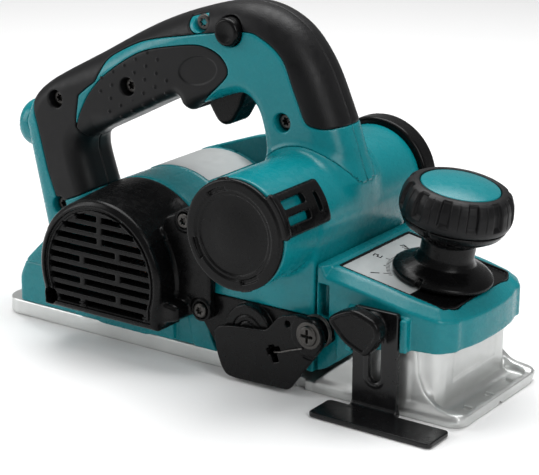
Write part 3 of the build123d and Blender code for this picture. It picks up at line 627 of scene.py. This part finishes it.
def vent_cover(x, y, z):
    cone = disc(x, z, *motor_at, 40.6) - (y - vent_face) * 3.4 / 42.6
    shade = rounded(rounded(cone, vent_face - y, 3.6), y - barrel_step + 0.4, 0.6)
    shade = rounded(shade, between(x, -110, -24.4), 0.5)
    shade = cut(rounded(shade, 64.5 - z, 0.5), disc(x, z, *motor_at, 39.8), 0.3)
    solid = rounded(rounded(vent_outline(x, z), vent_face - y, 3.6), y + side, 0.4)
    solid = fused(solid, shade, 0.5)
    solid = cut(solid, rounded(vent_outline(x, z, 3.6), y + 63.0, 0.3), 0.5)
    ridge = rounded(np.abs(vent_outline(x, z, 6.0)) - 0.6, between(y, -64.2, -62.5), 0.3)
    solid = fused(solid, ridge, 0.3)
    solid = cut(solid, rounded(vent_outline(x, z, 4.6), between(y, -60.6, -30), 0.3), 0.3)
    grille = rounded(vent_outline(x, z, 4.0), between(y, -63.0, -55.8), 0.4)
    seat_ring = rounded(np.abs(disc(x, z, *motor_at, 12.5)) - 1.4, between(y, -57, -46.2), 0.3)
    solid = fused(solid, fused(grille, seat_ring, 0.3), 0.3)
    for row, z0 in enumerate(slot_rows):
        # each row is broken by short bridges that step sideways from row to row
        reach = math.sqrt(34.0 ** 2 - (z0 + 1.6 - motor_z) ** 2)
        slot = box(x, y, z, (motor_x - reach, motor_x + reach), (-70, -50), (z0, z0 + 3.2), 0.5)
        bridge_x = motor_x - 12 + 24 * (row % 2) if z0 < 60 else motor_x
        solid_bridge = box(x, y, z, (bridge_x - 1.6, bridge_x + 1.6), (-80, -40), (z0 - 1, z0 + 5), 0.3)
        solid = cut(solid, cut(slot, solid_bridge, 0.3), 0.3)
    # floor of the bearing's seat, which hides the shaft's end behind the slots
    solid = fused(solid, rod(x, y, z, motor_at, 13.6, (-56.2, -54.2), 0.3), 0.3)
    flank_outline = soft([(-30, 36), (-5, 29), (4, 33), (4, 60), (-3, 80), (-11, 86.5), (-26, 80)], 4)
    flank = prism(x, y, z, flank_outline, (-50, -side), 1.8)
    foot_outline = soft([(-28, 23), (-9, 28.5), (-9, 36.5), (-28, 39)], 3.5)
    foot = prism(x, y, z, foot_outline, (-61, -side), 3)
    skirt = fused(flank, foot, 3)
    inside = rounded(vent_outline(x, z, 3.0), between(y, -62.0, -30), 0.3)
    skirt = cut(skirt, inside, 0.3)
    solid = fused(solid, skirt, 2.5)
    solid = fused(solid, rod(x, y, z, (-92.5, 27), 5.6, (-62.4, -side), 1), 1.2)
    solid = cut(solid, rounded(disc(x, z, -92.5, 27, 4.5), y + 48, 0.3), 0.5)
    for screw_x, seat, screw_z in vent_screws[:2]:
        pad = rod(x, y, z, (screw_x, screw_z), 6.2, (seat - 1.0, -side), 0.6)
        solid = fused(solid, pad, 0.8)
        solid = cut(solid, rounded(disc(x, z, screw_x, screw_z, 4.6), y - seat, 0.2), 0.3)
    plate = prism(x, y, z, plate_outline, (-46, -30), 0.3)
    return cut(solid, plate - 0.2, 0.3)


plate_outline = soft([(-7, 29), (-7, 42.2), (64, 42.2), (74, 41), (76, 31), (64, 28), (60, 14), (44, 9.5),
                      (8, 9.5)], 2.5)
sculpt("vent_cover", vent_cover, 0.45, "black_plastic", extent=((-103, -65, 21), (5, -22, 90)), limit=170000)


def side_plate(x, y, z):
    plate_low, _ = span("drum_side_plate")
    solid = prism(x, y, z, plate_outline, (-44.7, -41.7), 0.7)
    boss = rod(x, y, z, drum_at, 14.0, (plate_low.y, -42), 0.8)
    solid = fused(solid, boss, 0.6)
    for ring in (8.6, 5.4):
        solid = cut(solid, np.maximum(np.abs(disc(x, z, *drum_at, ring)) - 0.3, y - plate_low.y - 0.5), 0.1)
    return cut(solid, rod(x, y, z, drum_at, 11, (plate_low.y + 1.2, -30), 0.2), 0.2)


sculpt("drum_side_plate", side_plate, 0.38, "black_plastic")

# ---- chip cover on the duct's right end ----
cover_low, cover_high = span("chip_cover")


def duct_angle(x, z):
    return np.degrees(np.arctan2(z - duct_z, x - duct_x))


def sector(x, z, radius, low, high):
    """Distance, along the arc, outside a range of angles round the duct."""
    middle, half = (low + high) / 2, (high - low) / 2
    away = np.abs((duct_angle(x, z) - middle + 180) % 360 - 180)
    return (away - half) * math.pi / 180 * radius


def chip_cover(x, y, z):
    reach = np.hypot(x - duct_x, z - duct_z)
    front, back = cover_low.y, -74.9
    solid = rounded(reach - 28.4, between(y, front, back), 1.5)
    solid = cut(solid, rounded(reach - 22.6, y - front - 0.8, 0.2), 0.5)
    solid = cut(solid, rounded(reach - 20.4, y - front - 1.5, 0.2), 0.4)
    crown = np.sqrt((x - duct_x) ** 2 + (z - duct_z) ** 2 + (y - front - 146) ** 2) - 145.2
    solid = fused(solid, rounded(reach - 19.8, np.maximum(crown, y - front - 3), 0.5), 0.3)
    for middle in (115, 205, 295):
        notch = rounded(rounded(sector(x, z, 24, middle - 13, middle + 13), between(reach, 22.4, 24.6), 0.3),
                        y - front - 1.6, 0.2)
        solid = cut(solid, notch, 0.3)
        clip = rounded(rounded(sector(x, z, 28, middle - 16, middle - 4), between(reach, 26, 28.9), 0.4),
                       between(y, front + 1.2, back), 0.4)
        solid = fused(solid, clip, 0.3)
    solid = cut(solid, rounded(reach - 25.2, between(y, front + 2.6, -30), 0.3), 0.3)
    neck = rounded(between(reach, 20.6, 23.4), between(y, back - 2, -68.6), 0.4)
    flange = rounded(between(reach, 20.6, 26), between(y, back - 1.6, back), 0.4)
    return fused(fused(solid, flange, 0.5), neck, 0.3)


def cover_tongue(x, y, z):
    reach = np.hypot(x - duct_x, z - duct_z)
    front, end = cover_low.y, cover_high.y
    wall = rounded(between(reach, 29.2, 32.1), between(y, front + 0.6, end), 0.9)
    arc = sector(x, z, 30.5, 5, 50)
    solid = rounded(wall, arc, 2.8)
    root = rounded(rounded(between(reach, 26.5, 32.1), between(y, front + 0.6, -74.9), 0.8), arc, 1.5)
    solid = fused(solid, root, 0.8)
    for low, high in ((16.5, 24.5), (31.5, 40.5)):
        window = rounded(between(y, -73.5, -55), sector(x, z, 30.5, low, high), 1.2)
        solid = cut(solid, np.maximum(window, 28.9 - reach), 0.5)
    slot = rounded(between(y, -47.5, -44.3), sector(x, z, 30.5, 18.5, 37), 1.2)
    return cut(solid, np.maximum(slot, 28.9 - reach), 0.5)


def whole_chip_cover(x, y, z):
    return fused(chip_cover(x, y, z), cover_tongue(x, y, z), 1.0)


sculpt("chip_cover", whole_chip_cover, 0.42, "black_plastic", body="chip_cover", limit=150000)


def chip_nozzle(x, y, z):
    low, high = span("chip_nozzle")
    reach = np.hypot(x - duct_x, z - duct_z)
    wall = rounded(between(reach, 24.0, (high.x - low.x) / 2), between(y, 54, high.y), 2.0)
    throat = rounded(between(reach, 21.0, 24.4), between(y, 54, 57), 0.4)
    spigot = rounded(between(reach, 21.0, 23.4), between(y, low.y, 56), 0.4)
    return fused(fused(wall, throat, 0.4), spigot, 0.3)


sculpt("chip_nozzle", chip_nozzle, 0.5, "black_plastic")

# ---- belt cover on the left side ----


def belt_cover(x, y, z):
    solid = rounded(belt_loop(x, z, 10.6), between(y, 56, 74), 3.5)
    solid = cut(solid, rounded(belt_loop(x, z, 8.0), between(y, 50, 71.4), 0.5), 0.4)
    solid = cut(solid, np.maximum(np.abs(belt_loop(x, z, 4.5)) - 0.6, 73.3 - y), 0.3)
    dx, dz = drum_x - motor_x, drum_z - motor_z
    length = math.hypot(dx, dz)
    along = ((x - motor_x) * dx + (z - motor_z) * dz) / length
    for i in range(7):
        rib = rounded(np.abs(along - (14 + 9.5 * i)) - 1.3, belt_loop(x, z, -4.0), 0.6)
        solid = cut(solid, rounded(rib, 72.9 - y, 0.2), 0.5)
    for lug_x, _, lug_z in lug_screws:
        lug = rod(x, y, z, (lug_x, lug_z), 5, (56, 60), 0.8)
        solid = fused(solid, cut(lug, belt_loop(x, z, 8.0), 0.3), 1.2)
    return rounded(solid, 5 - z, 0.5)


sculpt("belt_cover", belt_cover, 0.55, "black_plastic", limit=110000)

# ---- soles ----


def rear_sole(x, y, z):
    plan = soft([(sole_low.x, -half_sole), (drum_x, -half_sole), (drum_x, half_sole),
                 (sole_low.x, half_sole)], 0.1)
    rear_corner = np.minimum(0, x - sole_low.x - 11)
    corner = np.hypot(rear_corner, np.maximum(np.abs(y) - half_sole + 11, 0)) - 11
    in_corner = (rear_corner < 0) & (np.abs(y) > half_sole - 11)
    outline = np.maximum(polygon(plan, x, y), np.where(in_corner, corner, -5))
    solid = rounded(outline, between(z, 0, floor_z), 0.7)
    solid = cut(solid, disc(x, z, *drum_at, 29.6), 0.3)
    for screw_x in (-122, -24):
        for screw_y in (-29, 29):
            cone = (np.hypot(x - screw_x, y - screw_y) - 4.9 + 0.75 * z) * 0.8
            solid = cut(solid, cone, 0.2)
    for i in range(5):
        groove_y = -24 + 12 * i
        solid = cut(solid, np.hypot(y - groove_y, z + 0.5) - 0.9, 0.2)
    return solid


sculpt("rear_sole", rear_sole, 0.6, "cast_aluminium", "rear_base", limit=80000)

front_plan = soft([(38, -38.5), (56, -38.5), (57, -half_sole), (front_high.x, -half_sole),
                   (front_high.x, half_sole), (57, half_sole), (56, 38.5), (38, 38.5)], 0.5)
web_outline = soft([(62.6, 4), (66.6, 10), (86, 26), (98, 37.3), (121, 37.3), (122, 24), (126, 14), (134, 8),
                    (146, 5.5), (146, 3)], 3)


def front_sole(x, y, z):
    across = np.abs(y)
    tip = 9.0
    corner = np.hypot(np.maximum(x - front_high.x + tip, 0), np.maximum(across - half_sole + tip, 0)) - tip
    in_corner = (x > front_high.x - tip) & (across > half_sole - tip)
    plan = np.where(in_corner, corner, polygon(front_plan, x, y))
    plate = rounded(plan, between(z, 0, 6), 0.9)
    tray = rounded(rounded(between(x, 110, front_high.x - 3.2), across - half_sole + 4.6, 6), 3.6 - z, 0.4)
    plate = cut(plate, tray, 0.6)
    pillar_plan = rounded(between(x, 84, 132), across - 37.4, 9)
    pillar = rounded(pillar_plan, between(z, 2, 44), 1)
    webs = rounded(polygon(web_outline, x, z), np.abs(across - 38.4) - 2.0, 0.8)
    shoulder = box(x, y, z, (84, 118), (-39.5, 39.5), (3, 30), 2)
    solid = fused(plate, fused(fused(pillar, shoulder, 2.5), webs, 2.5), 4.0)
    solid = cut(solid, box(x, y, z, (88, 128), (-30, 30), (9, 60), 6), 1)
    u, v, _ = knob_frame(x, y, z)
    core = rounded(np.hypot(u, v) - 9, between(z, 8, 44), 0.6)
    solid = fused(solid, core, 1)
    solid = cut(solid, np.hypot(u, v) - 4.5, 0.4)
    # room for the thumb screw's insert and for the body, with the sole at its highest
    solid = cut(solid, box(x, y, z, (gauge_x - 7.3, gauge_x + 7.2), (-60, -36.3), (37.5, 60), 0.3), 0.3)
    solid = cut(solid, box(x, y, z, (20, 63.4), (-60, 60), (6, 60), 0.3), 0.3)
    for rib_y in (-22, 0, 22):
        rib_x = front_high.x - 8.5, front_high.x - 1.6
        rib = box(x, y, z, rib_x, (rib_y - 1.1, rib_y + 1.1), (3, 5.9), 0.6)
        solid = fused(solid, rib, 0.8)
    panel = box(x, y, z, (131.5, 140), (-24, 24), (15, 33), 3)
    solid = cut(solid, panel, 0.4)
    solid = cut(solid, disc(x, z, *drum_at, 29.8), 0.3)
    solid = cut(solid, disc(x + 0.7, z + 4, drum_x, drum_z, 29.8), 0.3)
    solid = cut(solid, box(x, y, z, (20, 39.5), (-60, 60), (-5, 8), 0.2), 0.2)
    return cut(solid, (np.abs(y) + z) * 0.707 - 1.7, 0.2)


sculpt("front_sole", front_sole, 0.55, "cast_aluminium", "front_base", "front_base", limit=150000)

# ---- nose shell ----
nose_plan = [(64.5, -side), (117, -side), (133, -41.5), (139.5, -33)]
nose_plan += [(130 + 13 * math.cos(a) ** 0.5 if a else 143, 33 * math.sin(a)) for a in
              np.radians([-60, -40, -20, 0])]
nose_plan = nose_plan + [(x, -y) for x, y in reversed(nose_plan[:-1])]
skirt_outline = soft([(60, 8), (64.5, 13), (70, 15), (88, 29), (116, 36.5), (150, 36.5), (150, 95),
                      (60, 95)], 4)
rim_height, tray_floor = 0.2, -2.8
bevel_across, bevel_down = 6.8, 4.6


def nose_shell(x, y, z):
    u, v, h = knob_frame(x, y, z)
    wall = polygon(soft(nose_plan, 3), x, y)
    lid = h - rim_height
    bevel = (wall / bevel_across + lid / bevel_down + 1) / math.hypot(1 / bevel_across, 1 / bevel_down)
    bevel = np.where(x < 70.5, np.maximum(bevel - (70.5 - x) * 1.6, -9), bevel)
    solid = rounded(rounded(wall, lid, 0.4), bevel, 0.9)
    solid = rounded(solid, polygon(skirt_outline, x, z), 0.8)
    solid = cut(solid, rounded(wall + 3.0, h + 5, 1), 0.6)
    solid = cut(solid, box(x, y, z, (60, 70), (-41.2, 41.2), (0, 40), 0.4), 0.3)
    recess = soft([(-41, -34.5), (20, -34.5), (23.8, -27), (23.8, 27), (20, 34.5), (-41, 34.5)], 2.0)
    solid = cut(solid, rounded(polygon(recess, u, v), tray_floor - h, 0.2), 0.35)
    solid = cut(solid, np.hypot(u, v) - 11, 0.4)
    # frame that guides the rebate gauge, the slot behind it and the hole for the stud
    frame_in = box(x, y, z, (88.6, 115.2), (-60, -43.2), (20, 52.0), 0.6)
    solid = cut(solid, frame_in, 0.4)
    for x0, x1 in ((84.6, 88.2), (115.6, 119.4)):
        post = box(x, y, z, (x0, x1), (-48, -42), (30, 52.6), 0.8)
        post = rounded(post, polygon(skirt_outline, x, z) - 0.4, 0.5)
        solid = fused(solid, post, 0.6)
    ledge = box(x, y, z, (84.6, 119.4), (-44.9, -42), (51.4, 53.4), 0.6)
    solid = fused(solid, ledge, 0.5)
    solid = cut(solid, rounded(disc(x, z, *gauge_at, 5.0), y + 36, 0.2), 0.3)
    window = box(x, y, z, (65.8, 72.5), (-60, -36), (43.3, 60.6), 0.9)
    solid = cut(solid, window, 0.4)
    pocket = box(x, y, z, (60, 77), (-60, -41.7), (5, 42.6), 0.6)
    solid = cut(solid, pocket, 0.4)
    boss = box(x, y, z, (64.5, 77), (-41.7, -36.5), (29, 42.6), 0.6)
    return rounded(fused(solid, boss, 0.3), 64.6 - x, 0.3)


sculpt("nose_shell", nose_shell, 0.55, "teal_plastic", "front_shell", limit=150000)


def dial_floor(x, y, z):
    u, v, h = knob_frame(x, y, z)
    outline = soft([(-40.8, -34.3), (19.9, -34.3), (23.6, -27), (23.6, 27), (19.9, 34.3), (-40.8, 34.3)], 2.0)
    edge = polygon(outline, u, v)
    solid = rounded(edge, between(h, tray_floor + 0.1, 0.0), 0.25)
    solid = cut(solid, rounded(edge + 1.1, tray_floor + 1.6 - h, 0.2), 0.25)
    return cut(solid, np.hypot(u, v) - 11, 0.3)


def dial_sheet(x, y, z):
    u, v, h = knob_frame(x, y, z)
    outline = soft([(-39.6, -33.1), (0, -33.1), (0, 33.1), (-39.6, 33.1)], 1.0)
    solid = rounded(polygon(outline, u, v), between(h, tray_floor + 1.6, tray_floor + 2.1), 0.15)
    return cut(solid, np.hypot(u, v) - 19.5, 0.2)


sculpt("dial_floor", dial_floor, 0.4, "black_plastic", "dial_base", limit=40000)
sculpt("dial_sheet", dial_sheet, 0.3, "silver_label", "dial_plate", limit=40000)


def dial_marks():
    """Millimetre digits and ticks round the knob, each a thin raised figure."""
    points, faces = [], []
    sheet_top = tray_floor + 2.1

    def bar(u, v, turn, x0, x1, y0, y1):
        first = len(points)
        for level in (sheet_top, sheet_top + 0.16):
            for a, b in ((x0, y0), (x1, y0), (x1, y1), (x0, y1)):
                points.append((u + a * math.cos(turn) - b * math.sin(turn),
                               v + a * math.sin(turn) + b * math.cos(turn), level))
        for i in range(4):
            j = (i + 1) % 4
            faces.append((first + i, first + j, first + 4 + j, first + 4 + i))
        faces.append((first + 3, first + 2, first + 1, first))
        faces.append((first + 4, first + 5, first + 6, first + 7))

    segments = {  # bars of a plain digit, in its own frame 2.8 wide and 4.6 high
        "top": (-1.4, 1.4, 1.75, 2.3), "mid": (-1.4, 1.4, -0.27, 0.27), "low": (-1.4, 1.4, -2.3, -1.75),
        "right_up": (0.85, 1.4, 0, 2.3), "left_down": (-1.4, -0.85, -2.3, 0),
        "right_down": (0.85, 1.4, -2.3, 0), "stem": (-0.3, 0.3, -2.3, 2.3)}
    digits = {1: ("stem",), 2: ("top", "mid", "low", "right_up", "left_down"),
              3: ("top", "mid", "low", "right_up", "right_down")}
    zero_angle, per_mm, figure_radius, tick_radius = 262.0, 36.0, 35.2, 26.6
    for digit, used in digits.items():
        degrees = zero_angle - per_mm * digit
        for key in used:
            bar(*polar(0, 0, figure_radius, degrees), math.radians(degrees - 90), *segments[key])
    for i in range(9, 35):
        degrees = zero_angle - per_mm * i / 10
        angle = math.radians(degrees)
        length = 4.2 if i % 10 == 0 else 3.2 if i % 5 == 0 else 2.0
        if 25.8 * math.cos(angle) < -4:
            bar(*polar(0, 0, tick_radius, degrees), angle, 0, length, -0.13, 0.13)
    return on_knob(points), faces


present("dial_marks", *dial_marks(), "black_plastic", "planer_body")

# ---- depth knob ----


def fine(profile, radius, spacing=0.7):
    """A closed profile with softened corners and even points."""
    loop = soft(profile, radius, 6)
    made = []
    for a, b in zip(loop, loop[1:] + loop[:1]):
        length = math.hypot(b[0] - a[0], b[1] - a[1])
        steps = max(1, round(length / spacing))
        if length > 1e-4:
            made += [(a[0] + (b[0] - a[0]) * i / steps, a[1] + (b[1] - a[1]) * i / steps)
                     for i in range(steps)]
    return made


def knob_flutes(angle, radius, height):
    """Twelve deep scallops with sharp sides and a fine groove on each rib between them."""
    lobe = (np.degrees(angle) % 30) - 15
    window = np.clip((height - 35.5) / 1.8, 0, 1) * np.clip((49.0 - height) / 1.6, 0, 1) * (radius > 22)
    scallop = 1 / (1 + np.exp((np.abs(lobe) - 5.4) * 3.0))
    rib = np.clip(1 - np.abs(np.abs(lobe) - 15) / 0.9, 0, 1)
    return window * (2.1 * scallop + 0.5 * rib)


def skirt_notch(angle, radius, height):
    away = np.abs((np.degrees(angle) - 270 + 180) % 360 - 180)
    return np.clip(1 - (away - 2.6) / 0.8, 0, 1) * (radius > 23.6) * 1.8


knob_core = fine([(4.1, 0.65), (25.6, 0.65), (26.0, 3.0), (23, 5.2), (15.5, 8.6), (13.8, 12.5), (13.8, 20.5),
                  (16.5, 23.2), (21, 24.8), (25, 27.4), (27.2, 31.4), (20.5, 31.4), (20.5, 34),
                  (4.1, 34)], 1.2)
knob_ring = fine([(20.3, 31.7), (27.3, 31.7), (28.6, 35), (28.7, 38), (27.9, 43.5), (26, 47.8), (23, 49.4),
                  (20.4, 49.6)], 1.3, 0.5)
core_points, core_faces = lathe(knob_core, 360, skirt_notch)
present("knob_core", on_knob(core_points), core_faces, "black_plastic", "depth_knob", "knob_core")
ring_points, ring_faces = lathe(knob_ring, 720, knob_flutes)
present("knob_ring", on_knob(ring_points), ring_faces, "grip_rubber", "depth_knob", "knob_grip", limit=110000)


def knob_cap(x, y, z):
    u, v, h = knob_frame(x, y, z)
    reach = np.hypot(u, v)
    dome_radius, top, bottom = 67.4, 52.25, 45.2
    dome = np.sqrt(reach ** 2 + (h - top + dome_radius) ** 2) - dome_radius
    return rounded(rounded(reach - 20.15, dome, 0.6), bottom - h, 0.4)


sculpt("knob_cap", knob_cap, 0.4, "teal_plastic", body="depth_knob", limit=60000)

# ---- blade guard, its screw and spring ----
guard_outline = soft([(11.6, 29), (8, 26), (10, 13.7), (12.8, 6.5), (16, 2.6), (23, 2.0), (54.6, 3.1),
                      (74.5, 30), (75, 38), (70, 44), (60, 45), (48, 41.5), (40.3, 32.4), (23, 30.8)], 2.6)
guard_back, guard_front = -50.0, -52.5


def blade_guard(x, y, z):
    outline = polygon(guard_outline, x, z)
    solid = rounded(outline, between(y, guard_front, guard_back), 0.7)
    lobe = rod(x, y, z, pivot_at, 11.5, (guard_front - 0.9, guard_back), 0.5)
    solid = fused(solid, rounded(lobe, outline + 0.3, 0.4), 0.5)
    hub = rod(x, y, z, pivot_at, 6.8, (guard_front - 1.0, -45.1), 0.4)
    solid = fused(solid, hub, 0.5)
    solid = cut(solid, disc(x, z, *pivot_at, 2.6), 0.2)
    track = rounded(np.abs(disc(x, z, *pivot_at, 13.2)) - 0.7, between(z - x, -70, -39.5) * 0.7, 0.3)
    solid = cut(solid, rounded(track, y - guard_front - 0.6, 0.2), 0.2)
    hole_x, hole_z = 45.9, 21.2
    p, q = x - hole_x, z - hole_z
    first = rounded(np.abs(0.94 * p + 0.34 * q + 0.6) - 1.9, np.abs(-0.34 * p + 0.94 * q) - 4.6, 0.3)
    second = rounded(np.abs(0.94 * p + 0.34 * q) - 4.2, np.abs(-0.34 * p + 0.94 * q - 1.6) - 1.7, 0.3)
    solid = cut(solid, fused(first, second, 0.3), 0.3)
    eye = disc(x, z, pivot_x - 14, pivot_z + 2.6, 1.7)
    return cut(solid, eye, 0.3)


sculpt("blade_guard", blade_guard, 0.33, "black_plastic", body="blade_guard", limit=110000)


def wire(name, path, radius, slot, body, *nodes):
    """A round wire along a smooth path given in millimetres."""
    curve = bpy.data.curves.new(name, "CURVE")
    curve.dimensions = "3D"
    curve.bevel_depth = radius * MM
    curve.bevel_resolution = 3
    curve.use_fill_caps = True
    line = curve.splines.new("POLY")
    line.points.add(len(path) - 1)
    for point, place in zip(line.points, path):
        point.co = (*(Vector(place) * MM), 1)
    placed(name, evaluated(curve), slot, body, nodes)


coil = []
for i in range(97):
    turn = math.radians(200 + 9.0 * i)
    coil.append((pivot_x + 8.4 * math.cos(turn), -49.2 + 3.6 * i / 96, pivot_z + 8.4 * math.sin(turn)))
wire("guard_spring", coil, 0.55, "dark_steel", "planer_body", "guard_spring")
leg = [(pivot_x - 4, -1.5, pivot_z - 8), (56, -0.75, 25.5), (50, -0.5, 23.0), (46.5, -0.4, 22.2),
       (45.6, 0.4, 22.0), (45.4, 1.6, 22.0)]
wire("spring_leg", [(x, guard_front + y, z) for x, y, z in leg], 0.45, "dark_steel", "blade_guard")

# ---- screws ----


def head(radius, height, drive, washer=0.0, shank=2.0, length=6.0):
    """A screw that faces -Y, with its seat at the origin."""
    def field(x, y, z):
        reach = np.hypot(x, z)
        solid = rounded(reach - radius, between(y, -height, 0.0), min(height * 0.45, 1.1))
        if washer:
            solid = fused(solid, rounded(reach - washer, between(y, -1.0, 0), 0.3), 0.2)
        solid = fused(solid, rounded(reach - shank, between(y, -0.5, length), 0.3), 0.2)
        angle = np.arctan2(z, x)
        if drive == "star":
            recess = reach - radius * 0.46 * (1 + 0.20 * np.cos(6 * angle))
        else:
            arm, half = radius * 0.68, radius * 0.15
            cross = [np.maximum(np.abs(a) - half, np.abs(b) - arm) for a, b in ((x, z), (z, x))]
            recess = np.minimum(*cross)
        taper = np.maximum(y + height, 0) * 0.35
        return cut(solid, rounded(recess + taper, y + height * 0.25, 0.1), 0.12)
    size = max(radius, washer)
    return surface(field, (-size, -height, -size), (size, length, size), 0.2)


def screws(name, shape, places, mirror=False, limit=40000):
    present(name, *repeated(shape, places, mirror), "dark_steel", "planer_body", name, limit=limit)


screws("handle_screws", head(4.3, 3.0, "star", shank=2.05, length=8), [(x, -11, z) for x, z in handle_screws],
       limit=60000)
screws("vent_cover_screws", head(3.9, 2.2, "star", shank=1.95), vent_screws)
screws("belt_cover_screws", head(3.7, 2.2, "star", shank=1.95), lug_screws, mirror=True)
screws("guard_pivot_screw", head(5.3, 2.5, "cross", washer=7.1, shank=2.45, length=16),
       [(pivot_x, -54.0, pivot_z)])

# ---- rebate gauge and thumb screw ----
gauge_low, gauge_high = span("rebate_gauge")
strip_front = -47.6


def rebate_gauge(x, y, z):
    strip = rounded(between(x, 89, 114.6), between(z, 0.5, gauge_high.z), 2.0)
    strip = rounded(strip, between(y, strip_front, -44.4), 0.6)
    slot = np.hypot(x - gauge_x, np.maximum(between(z, 20.4, 47.2), 0)) - 3.4
    bead = rounded(np.abs(slot - 1.6) - 0.9, between(y, strip_front - 0.3, strip_front + 1), 0.4)
    strip = fused(strip, bead, 0.5)
    strip = cut(strip, slot, 0.5)
    foot = rounded(rounded(between(x, gauge_low.x, gauge_high.x), between(y, gauge_low.y, -49.2), 2.5),
                   between(z, 0.5, 3.1), 0.6)
    bend = box(x, y, z, (89, 114.6), (-52, -44.4), (0.5, 3.1), 0.6)
    return fused(strip, fused(foot, bend, 0.8), 2.2)


sculpt("rebate_gauge", rebate_gauge, 0.42, "black_painted_steel", body="rebate_gauge", limit=110000)


def thumb_screw(x, y, z):
    outline = soft([(81.8, 50.3), (88, 55.2), (97, 58.5), (110.7, 54), (113, 46.5), (105, 34.5),
                    (92.4, 39.5)], 4.5)
    wing = prism(x, y, z, outline, (-62, -53.5), 2.0)
    face = rounded(polygon(outline, x, z) + 2.6, y + 61.3, 0.3)
    wing = cut(wing, face, 0.5)
    collar = rod(x, y, z, gauge_at, 8.0, (-55, -48.0), 0.7)
    collar = cut(collar, np.hypot(disc(x, z, *gauge_at, 8.2), y + 51) - 0.7, 0.2)
    return fused(wing, collar, 1.0)


thumb_low, thumb_high = span("gauge_thumb_screw")
sculpt("gauge_thumb_screw", thumb_screw, 0.35, "black_plastic", body="gauge_thumb_screw",
       extent=(thumb_low, (thumb_high.x, -47.9, thumb_high.z)), limit=80000)

# ---- floor, light and camera ----
studio = bpy.data.materials.new("studio_white")
studio.use_nodes = True
fill_in(studio.node_tree.nodes["Principled BSDF"], {"Base Color": (0.92, 0.92, 0.92, 1), "Roughness": 0.5})
half_floor = 6.0
floor_mesh = bpy.data.meshes.new("floor")
corners = [(half_floor * a, half_floor * b, 0) for a, b in ((-1, -1), (1, -1), (1, 1), (-1, 1))]
floor_mesh.from_pydata(corners, [], [(0, 1, 2, 3)])
floor_mesh.materials.append(studio)
linked("floor", floor_mesh)

world = bpy.data.worlds.new("studio")
bpy.context.scene.world = world
world.use_nodes = True
fill_in(world.node_tree.nodes["Background"], {"Color": (1, 1, 1, 1), "Strength": 0.26})


def softbox(name, place, target, size, power):
    light = bpy.data.lights.new(name, "AREA")
    light.shape = "RECTANGLE"
    light.size, light.size_y = size
    light.energy = power
    lamp = linked(name, light)
    lamp.location = place
    lamp.rotation_euler = (Vector(place) - Vector(target)).to_track_quat("Z", "Y").to_euler()


softbox("overhead", (-0.15, 0.35, 1.3), (0, 0, 0.05), (1.3, 0.9), 22)
softbox("left", (-1.3, -0.9, 0.7), (0, 0, 0.1), (0.7, 1.1), 11)
softbox("right", (1.2, -0.5, 0.9), (0, 0, 0.1), (0.6, 0.9), 8)

azimuth, elevation, roll = math.radians(34.30), math.radians(17.88), math.radians(0.39)
level = math.cos(elevation)
back = Vector((math.sin(azimuth) * level, -math.cos(azimuth) * level, math.sin(elevation)))
right = Vector((0, 0, 1)).cross(back).normalized()
up = back.cross(right)
camera = bpy.data.cameras.new("camera")
camera.lens, camera.sensor_width = 123.97, 36.0
camera.clip_end = 50
viewer = linked("camera", camera)
rolled_right = math.cos(roll) * right + math.sin(roll) * up
rolled_up = -math.sin(roll) * right + math.cos(roll) * up
turn = Matrix((rolled_right, rolled_up, back)).transposed()
viewer.matrix_world = Matrix.Translation((0.53608, -0.77599, 0.36471)) @ turn.to_4x4()
bpy.context.scene.camera = viewer
bpy.context.scene.view_settings.view_transform = "Standard"

bpy.context.view_layer.update()
